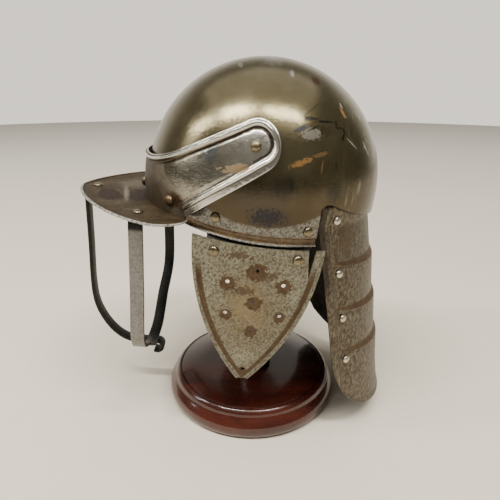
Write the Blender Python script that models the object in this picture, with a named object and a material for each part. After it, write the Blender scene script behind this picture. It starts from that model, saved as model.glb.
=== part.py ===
"""Lobster-tail pot helmet on a turned display stand, each piece a solid at its real size in metres.

The helmet has its own frame: its origin is at the skull's widest level, +X is the wearer's left,
-Y is the face and +Z is up. It sits on the stand with its brow tipped up a little.
The stand's frame is the model's own, with its origin under the middle of the base.
"""
import math

import bmesh
import bpy
from mathutils import Matrix, Vector

# Fits between pieces
GAP = 0.0003
NEST_GAP = 0.0006
TURNING_GAP = 0.0004

# Sheet and bar thicknesses
SKULL_WALL = 0.0012
PLATE_WALL = 0.0012
LEATHER_WALL = 0.002

# How the helmet sits on its stand
HELMET_LIFT = 0.2398
HELMET_BACK = 0.0105
HELMET_TIP_DEG = 5.0

# Skull
SKULL_HALF_WIDTH = 0.100
SKULL_HALF_LENGTH = 0.1075
SKULL_HEIGHT = 0.107
SKULL_UNDER_DEPTH = 0.200
SKULL_EDGE_DROP = 0.0352
SKULL_EDGE_RISE = 0.0042
SKULL_EDGE_LOWEST_DEG = 105.0
SKULL_EDGE_RISE_DEG = 42.5
SKULL_EDGE_BROW_RISE = 0.0145
SKULL_GROOVE_HEIGHT = 0.0052
SKULL_GROOVE_DEPTH = 0.0009
SKULL_LIP_HEIGHT = 0.0016
SKULL_SEGMENTS = 40
SKULL_RINGS = 20

# Cut-away at the nape
NAPE_CUT_BACK = 0.0415
NAPE_EAR_DROP = 0.001
NAPE_BACK_DROP = 0.017
NAPE_EAR_BACK = 0.050
NAPE_CURVE = 1.6

# Neck guard
TAIL_TUCK = 0.008
TAIL_HALF_ANGLE_DEG = 66.0
TAIL_FLARE = 0.24
TAIL_FLARE_FROM = 0.020
TAIL_FIRST_STEP = 0.053
TAIL_LAME_PITCH = 0.0425
TAIL_STEPS = 3
TAIL_STEP_OUT = 0.0024
TAIL_STEP_HEIGHT = 0.008
TAIL_STEP_HALF_ANGLE_DEG = 58.0
TAIL_LENGTH = 0.2135
TAIL_CORNER_RISE = 0.060
TAIL_CORNER_CURVE = 3.4
TAIL_STRIP_WIDTH = 0.0105
TAIL_STRIP_HEIGHT = 0.0012

# Brow plate, drawn flat: along is the way round from the middle of the brow, up is the height
BROW_STAND_OFF_FRONT = 0.0040
BROW_STAND_OFF_SIDE = 0.0085
BROW_PATTERN_RADIUS = 0.110
BROW_TOP = 0.020
BROW_BOTTOM = 0.0217
BROW_TOP_BEND_ALONG = 0.070
BROW_TOP_BEND_LENGTH = 0.030
BROW_CORNER_ALONG = 0.103
PIVOT_ALONG = 0.1572
PIVOT_UP = 0.0406
ARM_END_RADIUS = 0.0193
BEAD_EDGE = 0.0016
BEAD_WIDTH = 0.0046
BEAD_HEIGHT = 0.0016

# Peak
PEAK_DROP = 0.022
PEAK_HALF_WIDTH = 0.111
PEAK_WIDEST_FORWARD = 0.086
PEAK_TIP_FORWARD = 0.1735
PEAK_FULLNESS = 1.5
PEAK_CORNER_FORWARD = 0.0625
PEAK_CORNER_HALF_WIDTH = 0.0925
PEAK_ROLL_WIDTH = 0.0028
PEAK_ROLL_HEIGHT = 0.0009
PEAK_FLANGE_HEIGHT = 0.016

# Face bars
BAR_WIDTH = 0.0115
BAR_THICKNESS = 0.0034
BAR_TAB = 0.020
BAR_BEND_RADIUS = 0.005
CENTRE_BAR_FORWARD = 0.1685
CENTRE_BAR_SWEEP = 0.070
CURL_RADIUS = 0.006
CURL_TURN_DEG = 215.0
SIDE_BAR_FORWARD = 0.1035
SIDE_BAR_SPREAD = 0.089
SIDE_BAR_BULGE = 0.002
SIDE_BAR_LEAN = 0.0025
SIDE_BAR_LENGTH = 0.163

# Cheek pieces
CHEEK_TOP_WIDTH = 0.108
CHEEK_TIP_WIDTH = 0.0115
CHEEK_TOP_CENTRE = -0.0045
CHEEK_TIP_CENTRE = -0.0078
CHEEK_TIP_DROP = 0.1675
CHEEK_TAPER = 2.1
CHEEK_EDGE_GAP = 0.0026
CHEEK_OUT = 0.0998
CHEEK_BOW_LENGTH = 0.142
CHEEK_TUCK = 0.008
CHEEK_BORDER = 0.0022
CHEEK_GROOVE_WIDTH = 0.0030
CHEEK_GROOVE_DEPTH = 0.0007
NOTCH_BACK = 0.0385
NOTCH_WIDTH = 0.0065
NOTCH_DEPTH = 0.026
BREATH_HOLE_RADIUS = 0.0018
BREATH_PITCH = 0.0283
BREATH_SIDE = 0.0230
BREATH_CENTRE_DROP = 0.086
TIP_HOLE_UP = 0.0105

# Leather straps
STRAP_TOP_DROP = 0.014
STRAP_BOTTOM_DROP = 0.052
STRAP_FRONT = (-0.0470, -0.0105)
STRAP_REAR = (-0.0085, 0.0370)

# Rivets
RIVET_RADIUS = 0.0042
RIVET_HEIGHT = 0.0026
TAIL_RIVET_RADIUS = 0.0036
PIVOT_SHANK_RADIUS = 0.0022
PIVOT_END_RADIUS = 0.0036
PIVOT_END_THICKNESS = 0.0012
PIVOT_END_CLEARANCE = 0.0022

# Stand
BASE_RADIUS = 0.092
BASE_HEIGHT = 0.0285
BASE_TOP_RADIUS = 0.079
POST_RADIUS = 0.013
POST_FOOT_RADIUS = 0.021
POST_FOOT_HEIGHT = 0.018
HEAD_RADIUS = 0.055
HEAD_THICKNESS = 0.034
TURNED_STEPS = 32

# Colour, roughness and metallic value of each finish
FINISHES = {
    "tarnished steel": ((0.40, 0.35, 0.24), 0.32, 1.0),
    "bright steel": ((0.62, 0.60, 0.55), 0.28, 1.0),
    "rusted steel": ((0.36, 0.26, 0.17), 0.45, 1.0),
    "worn steel": ((0.60, 0.58, 0.53), 0.42, 1.0),
    "dark iron": ((0.05, 0.05, 0.05), 0.55, 0.8),
    "rivet brass": ((0.45, 0.38, 0.24), 0.35, 1.0),
    "black leather": ((0.02, 0.018, 0.016), 0.60, 0.0),
    "mahogany": ((0.16, 0.030, 0.018), 0.18, 0.0),
}

PLATE_HALF_WIDTH = SKULL_HALF_WIDTH + BROW_STAND_OFF_SIDE
PLATE_HALF_LENGTH = SKULL_HALF_LENGTH + BROW_STAND_OFF_FRONT
PLATE_HEIGHT = SKULL_HEIGHT + BROW_STAND_OFF_FRONT


def clear_scene():
    for obj in list(bpy.data.objects):
        bpy.data.objects.remove(obj, do_unlink=True)


def finish(name, kind):
    colour, roughness, metallic = FINISHES[kind]
    material = bpy.data.materials.new(name)
    material.use_nodes = True
    shader = material.node_tree.nodes["Principled BSDF"]
    shader.inputs["Base Color"].default_value = (*colour, 1.0)
    shader.inputs["Roughness"].default_value = roughness
    shader.inputs["Metallic"].default_value = metallic
    return material


def add_object(name, bm, parent, origin=Vector()):
    bmesh.ops.translate(bm, vec=-origin, verts=bm.verts)
    mesh = bpy.data.meshes.new(name)
    bm.to_mesh(mesh)
    bm.free()
    obj = bpy.data.objects.new(name, mesh)
    bpy.context.scene.collection.objects.link(obj)
    obj.parent = parent
    return obj


def face_outwards(bm):
    bmesh.ops.recalc_face_normals(bm, faces=bm.faces)
    if bm.calc_volume(signed=True) < 0.0:
        bmesh.ops.reverse_faces(bm, faces=bm.faces)


def add_part(name, bm, kind, parent, origin=Vector()):
    face_outwards(bm)
    part = add_object(name, bm, parent, origin)
    part.data.shade_smooth()
    part.data.set_sharp_from_angle(angle=math.radians(35.0))
    part.data.materials.append(finish(name, kind))
    return part


def add_cutter(name, bm, parent, origin=Vector()):
    face_outwards(bm)
    cutter = add_object(name, bm, parent, origin)
    cutter.hide_render = True
    cutter.display_type = "WIRE"
    return cutter


def add_boolean(part, cutter, operation="DIFFERENCE"):
    boolean = part.modifiers.new(cutter.name, "BOOLEAN")
    boolean.operation = operation
    boolean.object = cutter
    boolean.solver = "EXACT"


def add_empty(name, parent, location):
    empty = bpy.data.objects.new(name, None)
    bpy.context.scene.collection.objects.link(empty)
    empty.parent = parent
    empty.location = location
    return empty


# Surfaces that the plates are bent to

def dome_level(z, height):
    depth = height if z > 0.0 else SKULL_UNDER_DEPTH
    return math.sqrt(max(0.0, 1.0 - (z / depth) ** 2))


def dome_point(azimuth, z, half_width, half_length, height, out=0.0):
    """A point at a level of a bowl, with azimuth 0 at the brow and 90 degrees at the left ear."""
    level = dome_level(z, height)
    depth = height if z > 0.0 else SKULL_UNDER_DEPTH
    point = Vector((half_width * level * math.sin(azimuth), -half_length * level * math.cos(azimuth), z))
    normal = Vector((point.x / half_width ** 2, point.y / half_length ** 2, z / depth ** 2))
    return point + normal.normalized() * out


def skull_point(azimuth, z, out=0.0):
    return dome_point(azimuth, z, SKULL_HALF_WIDTH, SKULL_HALF_LENGTH, SKULL_HEIGHT, out)


def brow_point(azimuth, z, out=0.0):
    return dome_point(azimuth, z, PLATE_HALF_WIDTH, PLATE_HALF_LENGTH, PLATE_HEIGHT, out)


def side_azimuth(y, z, half_length, height):
    """The azimuth at which a bowl reaches a distance behind its middle, at one level."""
    return math.acos(max(-1.0, min(1.0, -y / (half_length * dome_level(z, height)))))


def skull_edge_z(azimuth):
    """The skull's lower edge: lowest behind the ear, rising towards the brow."""
    ahead = max(0.0, math.radians(SKULL_EDGE_LOWEST_DEG) - azimuth)
    rise = SKULL_EDGE_RISE * (ahead / math.radians(SKULL_EDGE_RISE_DEG)) ** 2
    return -SKULL_EDGE_DROP + min(rise, SKULL_EDGE_BROW_RISE)


def nape_edge_z(y):
    """The skull's edge above the neck guard: high at the ear, low at the back."""
    share = (y - NAPE_EAR_BACK) / (SKULL_HALF_LENGTH - NAPE_EAR_BACK)
    rise = (1.0 - max(0.0, min(1.0, share))) ** NAPE_CURVE
    return -NAPE_BACK_DROP + (NAPE_BACK_DROP - NAPE_EAR_DROP) * rise


def cheek_out(y, z):
    """How far a cheek piece's outer face stands from the middle, bowed and tucked in at its tip."""
    down = max(0.0, (-z - SKULL_EDGE_DROP) / (CHEEK_TIP_DROP - SKULL_EDGE_DROP))
    return CHEEK_OUT * math.sqrt(1.0 - (y / CHEEK_BOW_LENGTH) ** 2) - CHEEK_TUCK * down ** 2


# Mesh helpers

def flat_sheet(outline, rings):
    """A flat sheet from its outline, with rings along the edge: each row steps in, then up."""
    bm = bmesh.new()
    middle = bm.faces.new([bm.verts.new((along, up, 0.0)) for along, up in outline])
    bm.normal_update()
    if middle.normal.z < 0.0:
        bmesh.ops.reverse_faces(bm, faces=[middle])
    for step_in, step_up in rings:
        bmesh.ops.inset_region(bm, faces=[middle], thickness=step_in, depth=step_up,
                               use_even_offset=True, use_boundary=True)
    return bm


def score(bm, direction, places):
    """Cut a flat sheet along straight lines, so that it can be bent."""
    for place in places:
        geometry = bm.verts[:] + bm.edges[:] + bm.faces[:]
        bmesh.ops.bisect_plane(bm, geom=geometry, plane_co=Vector(direction) * place,
                               plane_no=direction, dist=1e-6)


def thicken(bm, wall):
    """Give a flat sheet its thickness, below the face that shows."""
    result = bmesh.ops.extrude_face_region(bm, geom=bm.faces[:])
    moved = [item for item in result["geom"] if isinstance(item, bmesh.types.BMVert)]
    bmesh.ops.translate(bm, vec=(0.0, 0.0, -wall), verts=moved)


def bend(bm, surface):
    """Move each vertex of a flat sheet, at along, up and height, onto a surface."""
    for vert in bm.verts:
        vert.co = surface(vert.co.x, vert.co.y, vert.co.z)


def spread(start, end, count):
    return [start + (end - start) * i / count for i in range(count + 1)]


def arc(centre, radius, start, end, count):
    return [(centre[0] + radius * math.cos(angle), centre[1] + radius * math.sin(angle))
            for angle in spread(start, end, count)]


def tangent_angle(point, centre, radius, side):
    """The angle, seen from a circle's centre, of the tangent point of a line from a point."""
    dx = point[0] - centre[0]
    dy = point[1] - centre[1]
    return math.atan2(dy, dx) + side * math.acos(radius / math.hypot(dx, dy))


def prism(outline, half_width):
    """A solid across the helmet with its outline in the plane of symmetry."""
    bm = bmesh.new()
    face = bm.faces.new([bm.verts.new((-half_width, y, z)) for y, z in outline])
    result = bmesh.ops.extrude_face_region(bm, geom=[face])
    moved = [item for item in result["geom"] if isinstance(item, bmesh.types.BMVert)]
    bmesh.ops.translate(bm, vec=(2.0 * half_width, 0.0, 0.0), verts=moved)
    return bm


def peg(bm, y, z, radius, start, end, sides=10):
    """A round peg along X."""
    turn = Matrix.Rotation(math.radians(90.0), 4, "Y")
    place = Matrix.Translation(((start + end) / 2.0, y, z))
    bmesh.ops.create_cone(bm, cap_ends=True, segments=sides, radius1=radius, radius2=radius,
                          depth=end - start, matrix=place @ turn)


def turned(profile, steps):
    """A body turned about +Z from radius and height pairs, listed from the bottom axis to the top axis."""
    bm = bmesh.new()
    verts = [bm.verts.new((radius, 0.0, z)) for radius, z in profile]
    edges = [bm.edges.new(pair) for pair in zip(verts, verts[1:])]
    bmesh.ops.spin(bm, geom=verts + edges, cent=(0.0, 0.0, 0.0), axis=(0.0, 0.0, 1.0),
                   angle=2.0 * math.pi, steps=steps, use_merge=True)
    bmesh.ops.remove_doubles(bm, verts=bm.verts, dist=1e-6)
    return bm


def smooth_path(points, steps):
    """A smooth curve through a few points."""
    path = []
    ends = [points[0]] + points + [points[-1]]
    for before, start, end, after in zip(ends, ends[1:], ends[2:], ends[3:]):
        for i in range(steps):
            t = i / steps
            path.append(0.5 * (2.0 * start + (end - before) * t
                               + (2.0 * before - 5.0 * start + 4.0 * end - after) * t ** 2
                               + (3.0 * start - before - 3.0 * end + after) * t ** 3))
    path.append(points[-1])
    return path


def flat_bar(path, across):
    """A flat bar along a path, its width along one direction."""
    bm = bmesh.new()
    half = Vector(across) * BAR_WIDTH / 2.0
    verts = [bm.verts.new(point - half) for point in path]
    edges = [bm.edges.new(pair) for pair in zip(verts, verts[1:])]
    result = bmesh.ops.extrude_edge_only(bm, edges=edges)
    moved = [item for item in result["geom"] if isinstance(item, bmesh.types.BMVert)]
    bmesh.ops.translate(bm, vec=half * 2.0, verts=moved)
    return bm


def solidify(part, thickness, offset):
    wall = part.modifiers.new("wall", "SOLIDIFY")
    wall.thickness = thickness
    wall.offset = offset
    wall.use_even_offset = True


def rivet(name, point, normal, radius, height, kind, parent, origin=Vector()):
    """A domed rivet head seated on a surface."""
    bm = bmesh.new()
    bmesh.ops.create_uvsphere(bm, u_segments=8, v_segments=6, radius=1.0)
    geometry = bm.verts[:] + bm.edges[:] + bm.faces[:]
    bmesh.ops.bisect_plane(bm, geom=geometry, plane_co=(0.0, 0.0, 0.0), plane_no=(0.0, 0.0, 1.0),
                           dist=1e-6, clear_inner=True)
    rim = [edge for edge in bm.edges if edge.is_boundary]
    bmesh.ops.contextual_create(bm, geom=rim)
    bmesh.ops.scale(bm, vec=(radius, radius, height), verts=bm.verts)
    turn = Vector(normal).to_track_quat("Z", "Y").to_matrix().to_4x4()
    place = Matrix.Translation(point + Vector(normal).normalized() * GAP)
    bmesh.ops.transform(bm, matrix=place @ turn, verts=bm.verts)
    return add_part(name, bm, kind, parent, origin)


def surface_normal(surface, first, second):
    """The outward direction of a surface, from how it moves when its height grows."""
    return (surface(first, second, 0.001) - surface(first, second, 0.0)).normalized()


# Skull

def skull_rows():
    """Rows of the lower wall: share of the way down to the groove, height above the edge, step in."""
    groove_top = SKULL_LIP_HEIGHT + SKULL_GROOVE_HEIGHT
    slope = SKULL_GROOVE_DEPTH
    return [
        (0.5, 0.0, 0.0),
        (1.0, groove_top, 0.0),
        (1.0, groove_top - slope, SKULL_GROOVE_DEPTH),
        (1.0, SKULL_LIP_HEIGHT + slope, SKULL_GROOVE_DEPTH),
        (1.0, SKULL_LIP_HEIGHT, 0.0),
        (1.0, 0.0, 0.0),
    ]


def make_skull(helmet, hole):
    bm = bmesh.new()
    bmesh.ops.create_uvsphere(bm, u_segments=SKULL_SEGMENTS, v_segments=SKULL_RINGS, radius=1.0)
    under = [vert for vert in bm.verts if vert.co.z < -1e-4]
    bmesh.ops.delete(bm, geom=under, context="VERTS")
    bmesh.ops.scale(bm, vec=(SKULL_HALF_WIDTH, SKULL_HALF_LENGTH, SKULL_HEIGHT), verts=bm.verts)
    for share, above, step_in in skull_rows():
        rim = [edge for edge in bm.edges if edge.is_boundary]
        result = bmesh.ops.extrude_edge_only(bm, edges=rim)
        for vert in [item for item in result["geom"] if isinstance(item, bmesh.types.BMVert)]:
            azimuth = abs(math.atan2(vert.co.x / SKULL_HALF_WIDTH, -vert.co.y / SKULL_HALF_LENGTH))
            side = 1.0 if vert.co.x >= 0.0 else -1.0
            z = share * (skull_edge_z(azimuth) + above)
            vert.co = skull_point(side * azimuth, z, -step_in)
    skull = add_part("skull", bm, "tarnished steel", helmet)
    solidify(skull, SKULL_WALL, -1.0)

    reach = 1.5 * SKULL_HALF_LENGTH
    depth = 2.0 * SKULL_EDGE_DROP
    outline = [(NAPE_CUT_BACK, -depth)]
    outline += [(y, nape_edge_z(y)) for y in [NAPE_CUT_BACK] + spread(NAPE_EAR_BACK, SKULL_HALF_LENGTH, 8)]
    outline += [(reach, -NAPE_BACK_DROP), (reach, -depth)]
    nape_cut = add_cutter("nape_cut", prism(outline, 1.5 * SKULL_HALF_WIDTH), helmet)
    add_boolean(skull, nape_cut)
    add_boolean(skull, hole)

    for side, end in ((1.0, "left"), (-1.0, "right")):
        for label, y, above in (("front", -0.041, 0.0145), ("rear", 0.033, 0.0125)):
            azimuth = side_azimuth(y, -SKULL_EDGE_DROP / 2.0, SKULL_HALF_LENGTH, SKULL_HEIGHT)
            z = skull_edge_z(azimuth) + above
            point = skull_point(side * azimuth, z)
            normal = surface_normal(skull_point, side * azimuth, z)
            rivet(f"skull_rivet_{label}_{end}", point, normal, RIVET_RADIUS, RIVET_HEIGHT,
                  "rivet brass", helmet)


# Neck guard

def tail_bottom(angle):
    """The neck guard's lower edge at an angle from the middle of the back, its corners rounded off."""
    share = abs(angle) / math.radians(TAIL_HALF_ANGLE_DEG)
    return -TAIL_LENGTH + TAIL_CORNER_RISE * (1.0 - (1.0 - min(1.0, share) ** TAIL_CORNER_CURVE) ** 0.5)


def tail_point(angle, z, out=0.0):
    """A point of the neck guard's outer face, at an angle from the middle of the back."""
    inner = SKULL_WALL + NEST_GAP
    flare = TAIL_FLARE * max(0.0, -TAIL_FLARE_FROM - z)
    share = 1.0 - (angle / math.radians(TAIL_STEP_HALF_ANGLE_DEG)) ** 2
    bulge = 0.0
    for k in range(TAIL_STEPS):
        top = -TAIL_FIRST_STEP - k * TAIL_LAME_PITCH
        band = TAIL_STEP_HEIGHT * max(share, 0.0)
        if z < top and band > 0.0:
            below = (top - z) / band
            fade = (top - band - z) / (TAIL_LAME_PITCH - band)
            bulge = TAIL_STEP_OUT * share * (below if below < 1.0 else max(0.0, 1.0 - fade))
    level = dome_level(max(z, -TAIL_FLARE_FROM), SKULL_HEIGHT)
    x = (SKULL_HALF_WIDTH * level - inner + out + bulge) * math.sin(angle)
    y = (SKULL_HALF_LENGTH * level - inner + out + bulge) * math.cos(angle) + flare
    return Vector((x, y, z))


def tail_rows(angle):
    """Levels of the neck guard's rows at one angle, from its tucked top edge to its lower edge."""
    edge_y = tail_point(angle, 0.0).y
    share = max(0.0, 1.0 - (angle / math.radians(TAIL_STEP_HALF_ANGLE_DEG)) ** 2)
    top = nape_edge_z(edge_y)
    rows = [top + TAIL_TUCK, top - NEST_GAP]
    for k in range(TAIL_STEPS):
        step = -TAIL_FIRST_STEP - k * TAIL_LAME_PITCH
        middle = -TAIL_FLARE_FROM if k == 0 else (rows[-1] + step) / 2.0
        rows += [middle, step, step - max(0.0003, TAIL_STEP_HEIGHT * share)]
    bottom = tail_bottom(angle)
    rows += [rows[-1] + (bottom - rows[-1]) * part for part in (0.25, 0.5, 0.75, 0.9, 1.0)]
    return rows


def make_neck_guard(helmet):
    half = math.radians(TAIL_HALF_ANGLE_DEG)
    strip = TAIL_STRIP_WIDTH / SKULL_HALF_LENGTH
    slope = TAIL_STRIP_HEIGHT / SKULL_HALF_LENGTH
    side = [half, half - strip + slope, half - strip, half * 0.74, half * 0.60, half * 0.46,
            half * 0.32, half * 0.16]
    angles = [-angle for angle in side] + [0.0] + side[::-1]
    levels = [tail_rows(angle) for angle in angles]
    bm = bmesh.new()
    bmesh.ops.create_grid(bm, x_segments=len(angles) - 1, y_segments=len(levels[0]) - 1, size=1.0)
    for vert in bm.verts:
        column = round((vert.co.x + 1.0) / 2.0 * (len(angles) - 1))
        row = round((1.0 - vert.co.y) / 2.0 * (len(levels[0]) - 1))
        raised = TAIL_STRIP_HEIGHT if column < 2 or column > len(angles) - 3 else 0.0
        tucked = 1.0 if row > 1 else 0.0
        vert.co = tail_point(angles[column], levels[column][row], raised * tucked)
    neck_guard = add_part("neck_guard", bm, "worn steel", helmet)
    if neck_guard.data.polygons[0].normal.y < 0.0:
        neck_guard.data.flip_normals()
    solidify(neck_guard, PLATE_WALL, -1.0)

    inset = strip + TAIL_RIVET_RADIUS * 1.4 / SKULL_HALF_LENGTH
    for sign, end in ((1.0, "left"), (-1.0, "right")):
        for k in range(TAIL_STEPS + 1):
            angle = sign * (half - inset)
            z = -0.0155 if k == 0 else -TAIL_FIRST_STEP - (k - 1) * TAIL_LAME_PITCH - 0.0095
            point = tail_point(angle, z)
            normal = surface_normal(tail_point, angle, z)
            rivet(f"tail_rivet_{k + 1}_{end}", point, normal, TAIL_RIVET_RADIUS, RIVET_HEIGHT,
                  "worn steel", helmet)


# Visor

def brow_surface(along, up, height):
    return brow_point(along / BROW_PATTERN_RADIUS, up, height)


def brow_outline():
    """Half of the brow plate's flat pattern, from the middle of its lower edge to that of its upper edge."""
    pivot = (PIVOT_ALONG, PIVOT_UP)
    corner = (BROW_CORNER_ALONG, -BROW_BOTTOM)
    bend_at = (BROW_TOP_BEND_ALONG, BROW_TOP)
    low = tangent_angle(corner, pivot, ARM_END_RADIUS, 1.0)
    high = tangent_angle(bend_at, pivot, ARM_END_RADIUS, -1.0)
    end = arc(pivot, ARM_END_RADIUS, low, low + (high - low) % (2.0 * math.pi), 9)
    lower = [(along, -BROW_BOTTOM) for along in spread(0.0, BROW_CORNER_ALONG, 5)]
    lower += [tuple(a + (b - a) * share for a, b in zip(corner, end[0])) for share in (0.33, 0.67)]
    start = Vector(end[-1])
    turn = Vector(bend_at)
    reach = min(1.0, BROW_TOP_BEND_LENGTH / (start - turn).length)
    first = turn.lerp(start, reach)
    last = turn - Vector((BROW_TOP_BEND_LENGTH, 0.0))
    bend_points = [first.lerp(turn, t).lerp(turn.lerp(last, t), t) for t in spread(0.0, 1.0, 4)]
    upper = [tuple(point) for point in [start.lerp(first, 0.5)] + bend_points]
    upper += [(last.x / 2.0, BROW_TOP), (0.0, BROW_TOP)]
    return lower + end + upper


def make_brow_plate(visor, pivot, hole):
    half = brow_outline()
    outline = half + [(-along, up) for along, up in half[-2:0:-1]]
    rings = [(BEAD_EDGE, 0.0), (BEAD_WIDTH / 2.0, BEAD_HEIGHT), (BEAD_WIDTH / 2.0, -BEAD_HEIGHT)]
    bm = flat_sheet(outline, rings)
    arm_end = PIVOT_ALONG + ARM_END_RADIUS
    score(bm, (1.0, 0.0, 0.0), spread(-arm_end, arm_end, 17)[1:-1])
    score(bm, (0.0, 1.0, 0.0), spread(-BROW_BOTTOM, BROW_TOP, 3)[1:-1] + [PIVOT_UP])
    thicken(bm, PLATE_WALL)
    bend(bm, brow_surface)
    brow_plate = add_part("brow_plate", bm, "bright steel", visor, pivot)
    add_boolean(brow_plate, hole)


def pivot_place():
    """The turning axis: where the arm ends' middles lie on the brow plate."""
    point = brow_surface(PIVOT_ALONG, PIVOT_UP, 0.0)
    return Vector((0.0, point.y, point.z)), point.x


def make_pivot_rivets(visor, pivot, reach):
    azimuth = side_azimuth(pivot.y, pivot.z, SKULL_HALF_LENGTH, SKULL_HEIGHT)
    inside = skull_point(azimuth, pivot.z, -SKULL_WALL).x - PIVOT_END_CLEARANCE
    for side, end in ((1.0, "left"), (-1.0, "right")):
        along = side * PIVOT_ALONG
        seat = brow_surface(along, PIVOT_UP, 0.0)
        normal = surface_normal(lambda a, u, h: brow_surface(a, u, h), along, PIVOT_UP)
        head = rivet(f"pivot_rivet_{end}", seat, normal, RIVET_RADIUS * 1.1, RIVET_HEIGHT,
                     "rivet brass", visor, pivot)
        bm = bmesh.new()
        stop = reach + GAP + RIVET_HEIGHT / 2.0
        span = sorted((side * (inside - PIVOT_END_THICKNESS / 2.0), side * stop))
        peg(bm, pivot.y, pivot.z, PIVOT_SHANK_RADIUS, *span)
        shank = add_cutter(f"pivot_shank_{end}", bm, visor, pivot)
        add_boolean(head, shank, "UNION")
        bm = bmesh.new()
        span = sorted((side * (inside - PIVOT_END_THICKNESS), side * inside))
        peg(bm, pivot.y, pivot.z, PIVOT_END_RADIUS, *span)
        button = add_cutter(f"pivot_button_{end}", bm, visor, pivot)
        add_boolean(head, button, "UNION")


def peak_edge(share):
    """A point of the peak's outer edge, from its tip at 0 to its rear corner at 1."""
    front_share = 0.84
    if share < front_share:
        angle = math.radians(90.0) * (1.0 - share / front_share)
        power = 2.0 / PEAK_FULLNESS
        x = PEAK_HALF_WIDTH * math.cos(angle) ** power
        forward = PEAK_TIP_FORWARD - PEAK_WIDEST_FORWARD
        return Vector((x, -PEAK_WIDEST_FORWARD - forward * math.sin(angle) ** power))
    angle = math.radians(90.0) * (share - front_share) / (1.0 - front_share)
    x = PEAK_CORNER_HALF_WIDTH + (PEAK_HALF_WIDTH - PEAK_CORNER_HALF_WIDTH) * math.cos(angle)
    back = PEAK_WIDEST_FORWARD - PEAK_CORNER_FORWARD
    return Vector((x, -PEAK_WIDEST_FORWARD + back * math.sin(angle)))


def make_peak(visor, pivot):
    """The peak is drawn as columns from the flange behind the brow plate to the rolled edge."""
    sweep = BROW_CORNER_ALONG / BROW_PATTERN_RADIUS
    shares = spread(-1.0, 1.0, 28)
    inward = -PLATE_WALL - NEST_GAP
    columns = []
    for share in shares:
        azimuth = share * sweep
        root = brow_point(azimuth, -PEAK_DROP, inward)
        edge = peak_edge(abs(share))
        rim = Vector((math.copysign(edge.x, share), edge.y, -PEAK_DROP))
        ahead = (rim - root).normalized()
        inner = rim - ahead * PEAK_ROLL_WIDTH
        top = rim - ahead * PEAK_ROLL_WIDTH / 2.0
        column = [brow_point(azimuth, -PEAK_DROP + PEAK_FLANGE_HEIGHT, inward)]
        column += [root.lerp(inner, part) for part in (0.0, 0.35, 0.7, 1.0)]
        column += [top + Vector((0.0, 0.0, PEAK_ROLL_HEIGHT)), rim]
        columns.append(column)
    bm = bmesh.new()
    bmesh.ops.create_grid(bm, x_segments=len(columns) - 1, y_segments=len(columns[0]) - 1, size=1.0)
    for vert in bm.verts:
        i = round((vert.co.x + 1.0) / 2.0 * (len(columns) - 1))
        j = round((vert.co.y + 1.0) / 2.0 * (len(columns[0]) - 1))
        vert.co = columns[i][j]
    peak = add_part("peak", bm, "rusted steel", visor, pivot)
    crown = max(peak.data.polygons, key=lambda face: abs(face.normal.z))
    if crown.normal.z < 0.0:
        peak.data.flip_normals()
    solidify(peak, PLATE_WALL, -1.0)


def make_brow_and_peak_rivets(visor, pivot):
    up = -BROW_BOTTOM + 0.0108
    for number, degrees in enumerate((-45.0, -7.0, 7.0, 45.0), start=1):
        azimuth = math.radians(degrees)
        point = brow_point(azimuth, up)
        normal = surface_normal(brow_point, azimuth, up)
        rivet(f"brow_rivet_{number}", point, normal, RIVET_RADIUS, RIVET_HEIGHT * 1.2,
              "rusted steel", visor, pivot)
    places = ((0.0, -CENTRE_BAR_FORWARD + BAR_TAB / 2.0), (1.0, -SIDE_BAR_FORWARD), (-1.0, -SIDE_BAR_FORWARD))
    for (side, y), label in zip(places, ("centre", "left", "right")):
        point = Vector((side * (SIDE_BAR_SPREAD - BAR_TAB / 2.0), y, -PEAK_DROP))
        rivet(f"peak_rivet_{label}", point, (0.0, 0.0, 1.0), RIVET_RADIUS, RIVET_HEIGHT * 0.7,
              "rivet brass", visor, pivot)


def tab_bend(inner, outer, under):
    """A bar's tab under the peak and its bend down: distance out and height."""
    middle = outer - BAR_BEND_RADIUS if outer > inner else outer + BAR_BEND_RADIUS
    turn = math.copysign(BAR_BEND_RADIUS, outer - inner)
    round_part = [(middle + turn * math.sin(angle), under - BAR_BEND_RADIUS * (1.0 - math.cos(angle)))
                  for angle in spread(0.0, math.radians(90.0), 3)]
    return [(inner, under)] + round_part


def side_bar_path(under):
    """The U-shaped bar from its left tab round to its right tab."""
    down = under - BAR_BEND_RADIUS
    drop = SIDE_BAR_LENGTH - BAR_BEND_RADIUS
    bend_places = tab_bend(SIDE_BAR_SPREAD - BAR_TAB, SIDE_BAR_SPREAD, under)
    tab = [Vector((x, -SIDE_BAR_FORWARD, z)) for x, z in bend_places]
    leg = [Vector((SIDE_BAR_SPREAD + SIDE_BAR_BULGE * out, -SIDE_BAR_FORWARD + SIDE_BAR_LEAN * lean,
                   down - drop * share)) for share, out, lean in ((0.34, 0.8, 0.6), (0.66, 1.0, 1.0))]
    foot = [Vector((SIDE_BAR_SPREAD * inward, -SIDE_BAR_FORWARD + SIDE_BAR_LEAN / 2.0,
                    down - drop * share)) for inward, share in ((0.62, 0.83), (0.27, 0.955))]
    bottom = Vector((0.0, -SIDE_BAR_FORWARD, down - drop))
    mirrored = [Vector((-point.x, point.y, point.z)) for point in (tab[-1:] + leg + foot)[::-1]]
    curve = smooth_path(tab[-1:] + leg + foot + [bottom] + mirrored, 3)
    return tab[:-1] + curve + [Vector((-point.x, point.y, point.z)) for point in tab[-2::-1]]


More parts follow.
